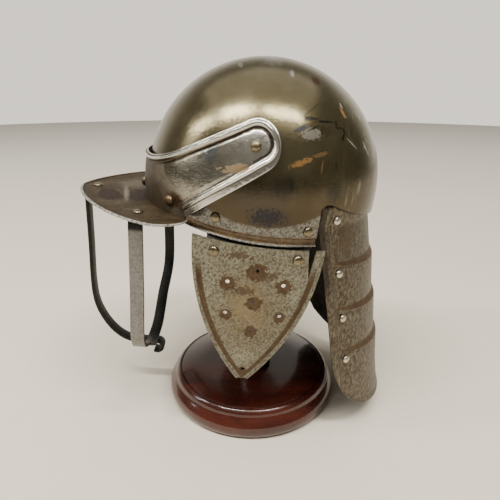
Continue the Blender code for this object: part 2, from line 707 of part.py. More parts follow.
def centre_bar_path(under, low):
    """The middle bar from its tab, down the front of the face and back under the U, to its curl."""
    front = -CENTRE_BAR_FORWARD
    down = under - BAR_BEND_RADIUS
    tab = [Vector((0.0, y, z)) for y, z in tab_bend(front + BAR_TAB, front, under)]
    rows = ((0.02, 0.30), (0.035, 0.60), (0.10, 0.76), (0.28, 0.90), (0.52, 0.985), (0.78, 1.0), (1.0, 1.0))
    curve = [tab[-1]] + [Vector((0.0, front + CENTRE_BAR_SWEEP * back, down + (low - down) * share))
                         for back, share in rows]
    centre = curve[-1] - Vector((0.0, 0.0, CURL_RADIUS))
    curl = [centre + Vector((0.0, math.sin(angle), math.cos(angle))) * CURL_RADIUS
            for angle in spread(0.0, math.radians(CURL_TURN_DEG), 6)[1:]]
    return tab[:-1] + smooth_path(curve, 3) + curl


def make_bars(visor, pivot):
    under = -PEAK_DROP - PLATE_WALL - GAP - BAR_THICKNESS / 2.0
    side_bars = add_part("side_bars", flat_bar(side_bar_path(under), (0.0, 1.0, 0.0)), "dark iron",
                         visor, pivot)
    solidify(side_bars, BAR_THICKNESS, 0.0)
    low = under - SIDE_BAR_LENGTH - BAR_THICKNESS - GAP
    centre_bar = add_part("centre_bar", flat_bar(centre_bar_path(under, low), (1.0, 0.0, 0.0)), "dark iron",
                          visor, pivot)
    solidify(centre_bar, BAR_THICKNESS, 0.0)


# Cheek pieces

def cheek_half_width(share):
    return (CHEEK_TIP_WIDTH + (CHEEK_TOP_WIDTH - CHEEK_TIP_WIDTH) * (1.0 - share ** CHEEK_TAPER)) / 2.0


def cheek_top_z(y):
    azimuth = side_azimuth(y, -SKULL_EDGE_DROP, SKULL_HALF_LENGTH, SKULL_HEIGHT)
    return skull_edge_z(azimuth) - CHEEK_EDGE_GAP


def cheek_side(share, sign):
    """A point of a cheek piece's front or rear edge, a share of the way down to its tip."""
    centre = CHEEK_TOP_CENTRE + (CHEEK_TIP_CENTRE - CHEEK_TOP_CENTRE) * share
    y = centre + sign * cheek_half_width(share)
    top = cheek_top_z(CHEEK_TOP_CENTRE + sign * CHEEK_TOP_WIDTH / 2.0)
    return y, top + (-CHEEK_TIP_DROP - top) * share


def cheek_outline():
    """The cheek piece's outline in the plane of symmetry, y then z."""
    shares = [0.0, 0.2, 0.4, 0.57, 0.72, 0.86, 1.0]
    front = [cheek_side(share, -1.0) for share in shares]
    rear = [cheek_side(share, 1.0) for share in shares[::-1]]
    top = [(y, cheek_top_z(y)) for y in spread(rear[-1][0], front[0][0], 7)[1:-1]]
    return front + rear + top


def notch_wedge():
    """What is cut out of both cheek pieces at the upper rear."""
    above = cheek_top_z(NOTCH_BACK) + NOTCH_DEPTH
    outline = [(NOTCH_BACK - NOTCH_WIDTH, above), (NOTCH_BACK, above - 2.0 * NOTCH_DEPTH),
               (NOTCH_BACK + NOTCH_WIDTH, above)]
    return prism(outline, 1.2 * CHEEK_OUT)


def breath_holes():
    """Places of the holes: three down the middle, two at each side of them, and one at the tip."""
    middle = CHEEK_TOP_CENTRE
    places = [(middle, -BREATH_CENTRE_DROP + step * BREATH_PITCH) for step in (1, 0, -1)]
    places += [(middle + side * BREATH_SIDE, -BREATH_CENTRE_DROP + step * BREATH_PITCH)
               for side in (-1, 1) for step in (0.58, -0.46)]
    return places + [(CHEEK_TIP_CENTRE, -CHEEK_TIP_DROP + TIP_HOLE_UP)]


def make_cheek_pieces(helmet):
    rings = [(CHEEK_BORDER, 0.0), (CHEEK_GROOVE_DEPTH, -CHEEK_GROOVE_DEPTH),
             (CHEEK_GROOVE_WIDTH, 0.0), (CHEEK_GROOVE_DEPTH, CHEEK_GROOVE_DEPTH)]
    notch = add_cutter("cheek_notch", notch_wedge(), helmet)
    for side, end in ((1.0, "left"), (-1.0, "right")):
        bm = flat_sheet(cheek_outline(), rings)
        score(bm, (1.0, 0.0, 0.0), spread(-CHEEK_TOP_WIDTH / 2.0, CHEEK_TOP_WIDTH / 2.0, 5)[1:-1])
        score(bm, (0.0, 1.0, 0.0), spread(-SKULL_EDGE_DROP, -CHEEK_TIP_DROP, 4)[1:-1])
        thicken(bm, PLATE_WALL)
        bend(bm, lambda y, z, height: Vector((side * (cheek_out(y, z) + height), y, z)))
        cheek = add_part(f"cheek_piece_{end}", bm, "worn steel", helmet)
        drill = bmesh.new()
        span = sorted((side * CHEEK_OUT * 0.7, side * CHEEK_OUT * 1.1))
        for y, z in breath_holes():
            peg(drill, y, z, BREATH_HOLE_RADIUS, *span, sides=8)
        add_boolean(cheek, add_cutter(f"breath_drill_{end}", drill, helmet))
        add_boolean(cheek, notch)
        for label, y, below in (("front", -0.0405, 0.0095), ("rear", 0.0275, 0.0085)):
            z = cheek_top_z(y) - below
            point = Vector((side * cheek_out(y, z), y, z))
            slope = (cheek_out(y + 0.001, z) - cheek_out(y, z)) / 0.001
            normal = Vector((side, -slope, 0.0))
            rivet(f"cheek_rivet_{label}_{end}", point, normal, RIVET_RADIUS, RIVET_HEIGHT,
                  "rivet brass", helmet)


def strap_out(y, z):
    """A strap's outer face: against the inside of the skull above, against the cheek piece below."""
    azimuth = side_azimuth(y, -SKULL_EDGE_DROP, SKULL_HALF_LENGTH, SKULL_HEIGHT)
    lining = SKULL_WALL + SKULL_GROOVE_DEPTH + 2.0 * NEST_GAP
    skull_side = skull_point(azimuth, -SKULL_EDGE_DROP, -lining).x
    cheek_side_x = cheek_out(y, z) - PLATE_WALL - CHEEK_GROOVE_DEPTH - NEST_GAP
    edge = skull_edge_z(azimuth)
    share = max(0.0, min(1.0, (edge + 0.001 - z) / (CHEEK_EDGE_GAP + 0.006)))
    return min(skull_side, cheek_side_x) * (1.0 - share) + cheek_side_x * share


def make_straps(helmet):
    for side, end in ((1.0, "left"), (-1.0, "right")):
        for label, (start, stop) in (("front", STRAP_FRONT), ("rear", STRAP_REAR)):
            low = -STRAP_BOTTOM_DROP
            high = -STRAP_TOP_DROP
            outline = [(start, high), (start, low), (stop, low), (stop, high)]
            bm = flat_sheet(outline, [])
            score(bm, (1.0, 0.0, 0.0), spread(start, stop, 4)[1:-1])
            edge = cheek_top_z((start + stop) / 2.0)
            score(bm, (0.0, 1.0, 0.0), [edge + 0.004, edge - 0.003])
            thicken(bm, LEATHER_WALL)
            bend(bm, lambda y, z, height: Vector((side * (strap_out(y, z) + height), y, z)))
            add_part(f"strap_{label}_{end}", bm, "black leather", helmet)


# Stand

def head_lift():
    """Height of the stand head's centre over the skull's widest level, so that the crown rests on it."""
    tip = math.radians(HELMET_TIP_DEG)
    inner_height = SKULL_HEIGHT - SKULL_WALL
    crown_radius = (SKULL_HALF_LENGTH - SKULL_WALL) ** 2 / inner_height
    lift = inner_height - HEAD_RADIUS
    for _ in range(6):
        ahead = HELMET_BACK * math.cos(tip) + lift * math.sin(tip)
        level = inner_height - HEAD_RADIUS - NEST_GAP - ahead ** 2 / (2.0 * (crown_radius - HEAD_RADIUS))
        lift = (level + HELMET_BACK * math.sin(tip)) / math.cos(tip)
    return lift


def make_stand():
    edge = BASE_RADIUS - BASE_TOP_RADIUS
    rounding = [(BASE_TOP_RADIUS + edge * out, BASE_HEIGHT * up) for out, up in (
        (0.66, 0.0), (0.90, 0.10), (1.0, 0.27), (0.94, 0.46), (0.72, 0.62), (0.52, 0.74),
        (0.40, 0.88), (0.22, 0.965), (0.08, 0.975))]
    profile = [(0.0, 0.0)] + rounding
    profile += [(BASE_TOP_RADIUS + edge * 0.04, BASE_HEIGHT * 0.945), (BASE_TOP_RADIUS, BASE_HEIGHT * 0.95),
                (BASE_TOP_RADIUS - edge * 0.06, BASE_HEIGHT), (0.0, BASE_HEIGHT)]
    add_part("stand_base", turned(profile, TURNED_STEPS), "mahogany", None)

    centre = HELMET_LIFT + head_lift()
    crown = centre + HEAD_RADIUS
    under = crown - HEAD_THICKNESS
    foot = BASE_HEIGHT + GAP
    top = under - GAP
    profile = [(0.0, foot), (POST_FOOT_RADIUS, foot), (POST_FOOT_RADIUS, foot + POST_FOOT_HEIGHT * 0.3),
               (POST_RADIUS * 1.25, foot + POST_FOOT_HEIGHT * 0.6), (POST_RADIUS, foot + POST_FOOT_HEIGHT),
               (POST_RADIUS, top), (0.0, top)]
    add_part("stand_post", turned(profile, 20), "mahogany", None)

    reach = math.acos((under - centre) / HEAD_RADIUS)
    dome = [(HEAD_RADIUS * math.sin(angle), centre + HEAD_RADIUS * math.cos(angle))
            for angle in spread(reach, 0.0, 7)]
    add_part("stand_head", turned([(0.0, under)] + dome, 28), "mahogany", None)


def main():
    clear_scene()
    helmet = add_empty("helmet", None, (0.0, HELMET_BACK, HELMET_LIFT))
    helmet.rotation_euler.x = -math.radians(HELMET_TIP_DEG)
    pivot, reach = pivot_place()
    visor = add_empty("visor", helmet, pivot)
    drill = bmesh.new()
    peg(drill, pivot.y, pivot.z, PIVOT_SHANK_RADIUS + TURNING_GAP, -reach * 1.2, reach * 1.2, sides=12)
    hole = add_cutter("pivot_drill", drill, helmet)
    make_skull(helmet, hole)
    make_neck_guard(helmet)
    make_cheek_pieces(helmet)
    make_straps(helmet)
    make_brow_plate(visor, pivot, hole)
    make_pivot_rivets(visor, pivot, reach)
    make_peak(visor, pivot)
    make_brow_and_peak_rivets(visor, pivot)
    make_bars(visor, pivot)
    make_stand()


main()
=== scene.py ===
import math

import bmesh
import bpy
from mathutils import Matrix, Vector


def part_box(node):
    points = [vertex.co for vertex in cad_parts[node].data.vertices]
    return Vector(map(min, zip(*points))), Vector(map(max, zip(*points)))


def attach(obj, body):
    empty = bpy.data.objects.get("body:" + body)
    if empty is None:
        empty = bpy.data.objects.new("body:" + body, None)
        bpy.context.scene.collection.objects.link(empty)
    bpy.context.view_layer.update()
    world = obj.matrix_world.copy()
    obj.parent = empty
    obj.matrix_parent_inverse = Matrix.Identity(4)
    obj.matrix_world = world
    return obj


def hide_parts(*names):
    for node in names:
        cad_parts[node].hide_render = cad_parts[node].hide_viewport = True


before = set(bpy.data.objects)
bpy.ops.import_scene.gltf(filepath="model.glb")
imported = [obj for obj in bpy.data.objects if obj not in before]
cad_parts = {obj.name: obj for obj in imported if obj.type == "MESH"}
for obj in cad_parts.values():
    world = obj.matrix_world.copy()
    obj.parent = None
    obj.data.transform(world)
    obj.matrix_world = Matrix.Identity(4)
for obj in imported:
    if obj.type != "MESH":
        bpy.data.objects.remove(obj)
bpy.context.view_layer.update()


# Camera
# It stands half a metre from the helmet's left side, at head height, and looks down a little.
# Its right, top and back directions and its place were fitted to the photograph.
lens_data = bpy.data.cameras.new("camera")
lens_data.lens = 31.04
lens_data.sensor_width = 36.0
lens_data.clip_start = 0.01
camera = bpy.data.objects.new("camera", lens_data)
to_right = Vector((0.0255, 0.9997, 0.0029))
to_top = Vector((-0.3579, 0.0065, 0.9337))
to_back = Vector((0.9334, -0.0249, 0.3580))
turn = Matrix((to_right, to_top, to_back)).transposed().to_4x4()
camera.matrix_world = Matrix.Translation((0.4164, -0.0132, 0.3229)) @ turn
bpy.context.scene.collection.objects.link(camera)
bpy.context.scene.camera = camera


# Studio
# A pale cloth lies under the stand. A wide soft lamp hangs overhead and a row of long lamps runs
# from the front of the helmet to its back; the room behind the camera is darker than the wall.
def wired(node, inputs):
    """Set a node's sockets: a socket of another node is linked, anything else is its value."""
    for name, value in inputs.items():
        socket = node.inputs[name.replace("_", " ")]
        if isinstance(value, bpy.types.NodeSocket):
            node.id_data.links.new(value, socket)
        else:
            socket.default_value = value
    return node


def add_node(tree, kind, **inputs):
    return wired(tree.nodes.new(kind), inputs)


def tree_of(*values):
    """The node tree that the first socket among some values belongs to."""
    return next(value.id_data for value in values if isinstance(value, bpy.types.NodeSocket))


def mixed(below, above, mask):
    """One colour laid over another where a mask is 1."""
    tree = tree_of(mask, below, above)
    mix = tree.nodes.new("ShaderNodeMix")
    mix.data_type = "RGBA"
    for number, value in ((0, mask), (6, below), (7, above)):
        if isinstance(value, bpy.types.NodeSocket):
            tree.links.new(value, mix.inputs[number])
        else:
            mix.inputs[number].default_value = (*value, 1.0)
    return mix.outputs[2]


def reckoned(operation, *values):
    tree = tree_of(*values)
    made = tree.nodes.new("ShaderNodeMath")
    made.operation = operation
    for socket, value in zip(made.inputs, values):
        if isinstance(value, bpy.types.NodeSocket):
            tree.links.new(value, socket)
        else:
            socket.default_value = value
    return made.outputs[0]


def times(first, second):
    return reckoned("MULTIPLY", first, second)


def plus(first, second):
    return reckoned("ADD", first, second)


def minus(first, second):
    return reckoned("SUBTRACT", first, second)


def most(first, second):
    return reckoned("MAXIMUM", first, second)


def ramped(value, low, high, start=0.0, end=1.0):
    """A value eased from start to end as another goes from low to high."""
    made = add_node(value.id_data, "ShaderNodeMapRange", Value=value, From_Min=low, From_Max=high,
                    To_Min=start, To_Max=end)
    made.interpolation_type = "SMOOTHSTEP"
    return made.outputs["Result"]


def between(value, low, full, full_end, high):
    """1 from full to full_end, easing to 0 at low and at high."""
    return times(ramped(value, low, full), ramped(value, high, full_end))


def noise(vector, scale, detail=3.0, roughness=0.55, distortion=0.0):
    return add_node(vector.id_data, "ShaderNodeTexNoise", Vector=vector, Scale=scale, Detail=detail,
                    Roughness=roughness, Distortion=distortion).outputs["Fac"]


def stretched(vector, scale, turn=(0.0, 0.0, 0.0)):
    """Coordinates turned, then scaled, so that a pattern runs along one direction."""
    return add_node(vector.id_data, "ShaderNodeMapping", Vector=vector, Rotation=turn,
                    Scale=scale).outputs["Vector"]


def mottled(dark, light, source, low=0.35, high=0.65):
    """Two colours that take turns as a noise goes up and down."""
    return mixed(dark, light, ramped(source, low, high))


def length_of(vector):
    made = vector.id_data.nodes.new("ShaderNodeVectorMath")
    made.operation = "LENGTH"
    vector.id_data.links.new(vector, made.inputs[0])
    return made.outputs["Value"]


def object_place(tree):
    return tree.nodes.new("ShaderNodeTexCoord").outputs["Object"]


def new_material(name):
    material = bpy.data.materials.new(name)
    material.use_nodes = True
    return material, material.node_tree


def surfaced(tree, height, distance, **inputs):
    """The shader's sockets, with a fine relief of one height."""
    relief = add_node(tree, "ShaderNodeBump", Height=height, Distance=distance, Strength=1.0)
    wired(tree.nodes["Principled BSDF"], dict(inputs, Normal=relief.outputs["Normal"]))


FLOOR_RADIUS = 4.0
cloth, tree = new_material("pale_cloth")
room = object_place(tree)
ribs = noise(stretched(room, (900.0, 60.0, 1.0)), 1.0, 2.0)
tint = mixed((0.76, 0.70, 0.595), (0.83, 0.775, 0.675), noise(room, 3.0, 2.0))
# Painted light: the cloth turns lighter away from the stand, making up for the lamps' light falling
# off with distance.
tint = mixed(tint, (0.97, 0.93, 0.865), ramped(length_of(room), 0.4, 2.4))
tint = mixed(tint, (0.58, 0.56, 0.52), ramped(ribs, 0.55, 0.8, 0.0, 0.35))
surfaced(tree, ribs, 0.0004, Base_Color=tint, Roughness=0.9)
bm = bmesh.new()
bmesh.ops.create_circle(bm, cap_ends=True, segments=96, radius=FLOOR_RADIUS)
mesh = bpy.data.meshes.new("floor")
bm.to_mesh(mesh)
bm.free()
floor = bpy.data.objects.new("floor", mesh)
mesh.materials.append(cloth)
bpy.context.scene.collection.objects.link(floor)

world = bpy.data.worlds.new("studio")
bpy.context.scene.world = world
world.use_nodes = True
tree = world.node_tree
across = add_node(tree, "ShaderNodeSeparateXYZ",
                  Vector=tree.nodes.new("ShaderNodeTexCoord").outputs["Generated"]).outputs
wall = mixed((1.24, 1.15, 1.01), (0.17, 0.155, 0.125), ramped(across["X"], -0.82, -0.30))
ceiling = mixed(wall, (0.19, 0.178, 0.148), ramped(across["Z"], 0.25, 0.75))
wired(tree.nodes["Background"], dict(Color=ceiling, Strength=1.0))

LAMP_COLOUR = (1.0, 0.95, 0.87)
LAMP_TARGET = Vector((0.0, 0.0, 0.28))
for name, first, last, width, power in (
        ("ceiling_panel", (0.2, -2.4, 3.2), (0.2, 2.2, 3.2), 4.6, 78.0),
        ("lamp_over_brow", (0.13, -1.75, 1.32), (0.42, -1.33, 1.85), 0.07, 13.0),
        ("lamp_overhead", (0.49, -1.03, 1.80), (0.68, -0.27, 2.03), 0.07, 27.0),
        ("lamp_over_back", (0.76, 0.0, 2.03), (0.74, 0.89, 1.80), 0.07, 27.0),
        ("window_front", (0.30, -2.30, 0.80), (0.30, -2.30, 1.70), 0.22, 5.0)):
    along = Vector(last) - Vector(first)
    place = (Vector(first) + Vector(last)) / 2.0
    side = along.cross(place - LAMP_TARGET).normalized()
    lamp_data = bpy.data.lights.new(name, "AREA")
    lamp_data.shape = "RECTANGLE"
    lamp_data.size, lamp_data.size_y = width, along.length
    lamp_data.energy = power
    lamp_data.color = LAMP_COLOUR
    lamp = bpy.data.objects.new(name, lamp_data)
    along.normalize()
    turn = Matrix((side, along, side.cross(along))).transposed().to_4x4()
    lamp.matrix_world = Matrix.Translation(place) @ turn
    bpy.context.scene.collection.objects.link(lamp)


# Skull
# The bowl is raised from one sheet of steel, tarnished to an olive bronze, with a groove and a
# thin lip along its lower edge; behind the ear it is cut away over the neck guard.
HELMET = Matrix.Translation((0.0, 0.0105, 0.2398)) @ Matrix.Rotation(math.radians(-5.0), 4, "X")
SKULL = (0.100, 0.1075, 0.107)
PLATE = (0.1085, 0.1115, 0.111)
UNDER_DEPTH = 0.200
SHEET = 0.0012
EDGE_Z = -0.0352
START_Z = -0.0045
NAPE_Y = 0.050
CUT_Y = 0.0415
LIP = 0.0016
GROOVE = 0.0052


def dome_point(azimuth, z, axes, out=0.0):
    """A point on a bowl at one height; azimuth 0 is the brow and 90 degrees the left ear."""
    depth = axes[2] if z > 0.0 else UNDER_DEPTH
    level = math.sqrt(max(0.0, 1.0 - (z / depth) ** 2))
    point = Vector((axes[0] * level * math.sin(azimuth), -axes[1] * level * math.cos(azimuth), z))
    normal = Vector((point.x / axes[0] ** 2, point.y / axes[1] ** 2, z / depth ** 2))
    return point + normal.normalized() * out


def clamped(value, low=0.0, high=1.0):
    return max(low, min(high, value))


def side_azimuth(y, z, axes):
    level = math.sqrt(1.0 - (z / (axes[2] if z > 0.0 else UNDER_DEPTH)) ** 2)
    return math.acos(clamped(-y / (axes[1] * level), -1.0))


def skull_edge_z(azimuth):
    ahead = max(0.0, math.radians(105.0) - azimuth)
    return EDGE_Z + min(0.0042 * (ahead / math.radians(42.5)) ** 2, 0.0145)


def nape_edge_z(y):
    share = clamped((y - NAPE_Y) / (SKULL[1] - NAPE_Y))
    return -0.017 + 0.016 * (1.0 - share) ** 1.6


def spread(start, end, count):
    return [start + (end - start) * i / count for i in range(count + 1)]


def only(kind, result):
    return [item for item in result["geom"] if isinstance(item, kind)]


def everything(bm):
    return bm.verts[:] + bm.edges[:] + bm.faces[:]


def finished(piece):
    """The piece's mesh with its modifiers applied."""
    depsgraph = bpy.context.evaluated_depsgraph_get()
    mesh = bpy.data.meshes.new_from_object(piece.evaluated_get(depsgraph))
    piece.modifiers.clear()
    piece.data = mesh
    return mesh


def add_piece(name, bm, material, body, nodes, place=HELMET, wall=0.0, offset=-1.0,
              soften=0.0, lining=None):
    """A finished piece in the row's frame, its wall and softened edges made solid in its mesh."""
    bmesh.ops.transform(bm, matrix=place, verts=bm.verts)
    mesh = bpy.data.meshes.new(name)
    bm.to_mesh(mesh)
    bm.free()
    for finish in [material, lining] if lining else [material]:
        mesh.materials.append(finish)
    piece = bpy.data.objects.new(name, mesh)
    bpy.context.scene.collection.objects.link(piece)
    if wall:
        sheet = piece.modifiers.new("wall", "SOLIDIFY")
        sheet.thickness = wall
        sheet.offset = offset
        sheet.material_offset = 1 if lining else 0
    if soften:
        bevel = piece.modifiers.new("edges", "BEVEL")
        bevel.width = soften
        bevel.segments = 2
        bevel.limit_method = "ANGLE"
        bevel.angle_limit = math.radians(50.0)
        bevel.use_clamp_overlap = True
    solid = finished(piece)
    solid.name = name
    bpy.data.meshes.remove(mesh)
    solid.shade_smooth()
    solid.set_sharp_from_angle(angle=math.radians(40.0))
    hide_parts(*nodes)
    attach(piece, body)
    return piece


def helmet_place(tree):
    """The helmet's own coordinates in millimetres: X to the left ear, -Y to the face, Z up."""
    made = add_node(tree, "ShaderNodeMapping", Vector=object_place(tree),
                    Location=HELMET.to_translation(), Rotation=HELMET.to_euler(),
                    Scale=(0.001, 0.001, 0.001))
    made.vector_type = "TEXTURE"
    return made.outputs["Vector"]


def apart(vector):
    return add_node(vector.id_data, "ShaderNodeSeparateXYZ", Vector=vector).outputs


def mark_of(tree, name):
    """The number that the mesh keeps under a name at each vertex."""
    mark = tree.nodes.new("ShaderNodeAttribute")
    mark.attribute_name = name
    return mark.outputs["Fac"]


def spot_group():
    """A stain: 1 within an oval, with an edge that a noise makes ragged."""
    group = bpy.data.node_groups.new("stain", "ShaderNodeTree")
    for kind, names in (("NodeSocketVector", ("Vector", "Centre", "Turn", "Size")),
                        ("NodeSocketFloat", ("Ragged", "Grain", "Soft"))):
        for name in names:
            group.interface.new_socket(name, in_out="INPUT", socket_type=kind)
    group.interface.new_socket("Mask", in_out="OUTPUT", socket_type="NodeSocketFloat")
    given = group.nodes.new("NodeGroupInput").outputs
    local = add_node(group, "ShaderNodeMapping", Vector=given["Vector"], Location=given["Centre"],
                     Rotation=given["Turn"], Scale=given["Size"])
    local.vector_type = "TEXTURE"
    rough = noise(given["Vector"], given["Grain"], 4.0, 0.65)
    reach = plus(length_of(local.outputs["Vector"]), times(minus(rough, 0.5), given["Ragged"]))
    wired(group.nodes.new("NodeGroupOutput"),
          dict(Mask=ramped(reach, 1.0, minus(1.0, given["Soft"]))))
    return group


STAIN = spot_group()


def stain(vector, centre, size, ragged, grain, soft, turn=(0.0, 0.0, 0.0)):
    made = vector.id_data.nodes.new("ShaderNodeGroup")
    made.node_tree = STAIN
    turned = tuple(math.radians(angle) for angle in turn)
    wired(made, dict(Vector=vector, Centre=centre, Turn=turned, Size=size, Ragged=ragged,
                     Grain=grain, Soft=soft))
    return made.outputs["Mask"]


def stained(colour, vector, rows):
    """Stains laid over a colour, each a colour, its strength and the stain's own numbers."""
    for tint, strength, *numbers in rows:
        colour = mixed(colour, tint, times(stain(vector, *numbers), strength))
    return colour


# Painted shade: the plates' inner faces get a near-black colour that stands in for the shade inside
# the helmet.
inside, tree = new_material("inside_painted_shade")
inside_mottle = noise(helmet_place(tree), 0.2, 4.0, 0.6)
surfaced(tree, inside_mottle, 0.0002, Metallic=0.6, Roughness=ramped(inside_mottle, 0.3, 0.7, 0.5, 0.72),
         Base_Color=mottled((0.012, 0.011, 0.010), (0.045, 0.037, 0.028), inside_mottle, 0.35, 0.75))

bm = bmesh.new()
bmesh.ops.create_uvsphere(bm, u_segments=144, v_segments=96, radius=1.0)
bmesh.ops.delete(bm, geom=[vert for vert in bm.verts if vert.co.z < -1e-4], context="VERTS")
bmesh.ops.scale(bm, vec=SKULL, verts=bm.verts)


def lower_rim(bm, height, out, edges):
    """Extrude edges down the wall, each new vertex at a height that depends on where it is."""
    result = bmesh.ops.extrude_edge_only(bm, edges=edges)
    for vert in only(bmesh.types.BMVert, result):
        azimuth = abs(math.atan2(vert.co.x / SKULL[0], -vert.co.y / SKULL[1]))
        side = 1.0 if vert.co.x >= 0.0 else -1.0
        vert.co = dome_point(side * azimuth, height(azimuth, vert.co.y), SKULL, out)
    return only(bmesh.types.BMEdge, result)


def level_run(edge):
    """False for the short edges that run down the cut instead of along the rim."""
    first, second = (vert.co for vert in edge.verts)
    if abs(first.y - second.y) + abs(first.x - second.x) <= 1e-5:
        return False
    return not all(abs(vert.co.y - CUT_Y) < 3e-4 for vert in edge.verts)


for share in (0.35, 0.7, 1.0):
    rim = [edge for edge in bm.edges if edge.is_boundary]
    lower_rim(bm, lambda azimuth, y: share * (nape_edge_z(y) if y > CUT_Y else START_Z), 0.0, rim)
bmesh.ops.bisect_plane(bm, geom=everything(bm), dist=1e-6, plane_co=(0.0, CUT_Y, 0.0),
                       plane_no=(0.0, 1.0, 0.0))
front = [edge for edge in bm.edges
         if edge.is_boundary and all(vert.co.y < CUT_Y + 1e-5 for vert in edge.verts)]
down_layer = bm.verts.layers.float.new("down")
for number, (share, above, out) in enumerate((
        (0.25, 0.0, 0.0), (0.5, 0.0, 0.0), (0.75, 0.0, 0.0), (1.0, 0.0, 0.0),
        (1.0, -0.0004, -0.0005), (1.0, -0.0010, -0.0011), (1.0, -0.0026, -0.0014),
        (1.0, -0.0044, -0.0012), (1.0, -0.0056, -0.0006), (1.0, -0.0062, 0.0002),
        (1.0, -0.0068, 0.0005), (1.0, -0.0073, 0.0003), (1.0, -0.0076, -0.0003))):
    def height(azimuth, y):
        return START_Z + (skull_edge_z(azimuth) + LIP + GROOVE - START_Z) * share + above
    new_rim = [edge for edge in lower_rim(bm, height, out, front) if edge.is_boundary]
    for edge in new_rim:
        for vert in edge.verts:
            vert[down_layer] = max(vert[down_layer], float(number + 1))
    front = [edge for edge in new_rim if level_run(edge)]
bmesh.ops.recalc_face_normals(bm, faces=bm.faces)

material, tree = new_material("tarnished_steel")
place = helmet_place(tree)
away = apart(place)
cloud = noise(place, 0.022, 4.0, 0.6)
fine = noise(place, 0.35, 5.0, 0.7)
colour = mottled((0.104, 0.088, 0.046), (0.150, 0.130, 0.078), cloud, 0.3, 0.7)
colour = mixed(colour, (0.085, 0.064, 0.038), ramped(fine, 0.60, 0.76, 0.0, 0.35))
low_down = plus(away["Z"], times(cloud, 60.0))
colour = mixed(colour, (0.060, 0.044, 0.026), ramped(low_down, 72.0, 14.0, 0.0, 0.85))
ear = reckoned("MINIMUM", reckoned("POWER", plus(away["Y"], 5.0), 2.0), 2400.0)
band = minus(plus(away["Z"], 21.0), times(ear, 0.0055))
band = plus(band, times(noise(place, 0.12, 3.0), 3.0))
polished = times(ramped(band, 2.8, 0.0), ramped(away["Y"], 44.0, 41.0))
black = (0.022, 0.022, 0.026)
colour = stained(colour, place, (
    ((0.05, 0.040, 0.030), 0.75, (99, 3, -14), (40, 26, 12), 1.2, 0.14, 0.6),
    ((0.07, 0.058, 0.043), 0.7, (99, -8, 0), (40, 34, 16), 1.0, 0.08, 0.7),
    (black, 0.85, (99.4, -1, -12), (30, 15, 8), 3.2, 0.55, 0.4),
    (black, 0.5, (98, 9, 12), (30, 11, 10), 3.0, 0.6, 0.4),
    (black, 0.5, (88, 51, 9), (30, 8, 9), 3.2, 0.7, 0.4),
    ((0.075, 0.03, 0.016), 0.9, (47.4, 30.9, 89), (6, 4.4, 9), 0.8, 0.2, 0.3),
    ((0.34, 0.33, 0.31), 0.55, (30, -4, 101.5), (30, 10, 5), 2.6, 0.3, 0.5),
    ((0.42, 0.42, 0.40), 0.6, (48, 11, 93), (12, 2.2, 4), 1.6, 0.4, 0.5),
    ((0.42, 0.42, 0.40), 0.6, (34, -30, 96), (12, 2.6, 3), 1.6, 0.4, 0.5),
))
orange = (0.21, 0.105, 0.032)
grey = (0.24, 0.24, 0.225)
brown = (0.055, 0.028, 0.016)
blue_black = (0.05, 0.055, 0.07)
painted = None
for tint, strength, first, last, half, ragged in (
        (grey, 0.55, (18, 50.5), (35, 51), 5.0, 1.8),
        (blue_black, 0.9, (12.9, 52.1), (23.6, 56.7), 1.7, 1.6),
        (black, 0.9, (19, 61.7), (31.2, 62.1), 1.3, 1.9),
        (black, 0.85, (30, 60.2), (45, 60.2), 1.0, 2.4),
        (black, 0.9, (34.4, 74.7), (19, 62.4), 0.4, 0.5),
        (brown, 0.9, (46.7, 61.5), (47.6, 56), 1.0, 1.0),
        (brown, 0.9, (47, 56.3), (52.9, 56), 0.8, 1.0),
        (black, 0.95, (53.3, 56.4), (55.4, 52.6), 0.9, 0.9),
        (black, 0.95, (55.1, 53.4), (52.6, 46.6), 1.1, 1.3),
        (brown, 0.8, (35.7, 58), (35.2, 49), 0.9, 1.0),
        (black, 0.7, (38.3, 58), (37.8, 48.9), 0.5, 1.3),
        (black, 0.7, (40.8, 58.5), (39.9, 48.7), 0.5, 1.3),
        (black, 0.6, (43, 57.9), (42.3, 50.2), 0.4, 1.3),
        (black, 0.8, (22.6, 52.5), (33.1, 57.6), 0.7, 1.5),
        (orange, 0.9, (8, 25.6), (30, 34.6), 3.0, 1.5),
        (orange, 0.45, (28, 34.8), (42, 39), 2.2, 1.6),
        (orange, 0.5, (37.4, 34), (37.2, 22), 0.9, 0.9),
        (orange, 0.9, (50.2, 72), (56.8, 63), 1.7, 1.0),
        (grey, 0.9, (50.4, 75), (54, 69.8), 1.1, 0.9),
        (black, 0.95, (13, 21), (16.5, 7.5), 1.9, 1.3),
        (black, 0.7, (17.4, 17.1), (22, 3.6), 0.7, 1.2),
        (grey, 0.8, (56.3, 50), (68, 41), 0.45, 0.9),
        (grey, 0.75, (73, 48), (82.8, 34), 1.2, 1.3),
        (grey, 0.8, (89, 26.4), (97, 28), 0.5, 0.7),
        (black, 0.8, (48.6, 32), (50.3, 25.4), 1.0, 1.9),
        (black, 0.7, (42.2, 32.8), (42.5, 28.4), 0.6, 1.3)):
    run = Vector(last) - Vector(first)
    middle = (Vector(last) + Vector(first)) / 2.0
    lean = math.degrees(math.atan2(run.y, run.x))
    mask = times(stain(place, (75.0, *middle), (35.0, run.length * 0.56, half), ragged, 0.55, 0.3,
                       (lean, 0.0, 0.0)), strength)
    colour = mixed(colour, tint, mask)
    if tint in (orange, grey):
        painted = mask if painted is None else most(painted, mask)
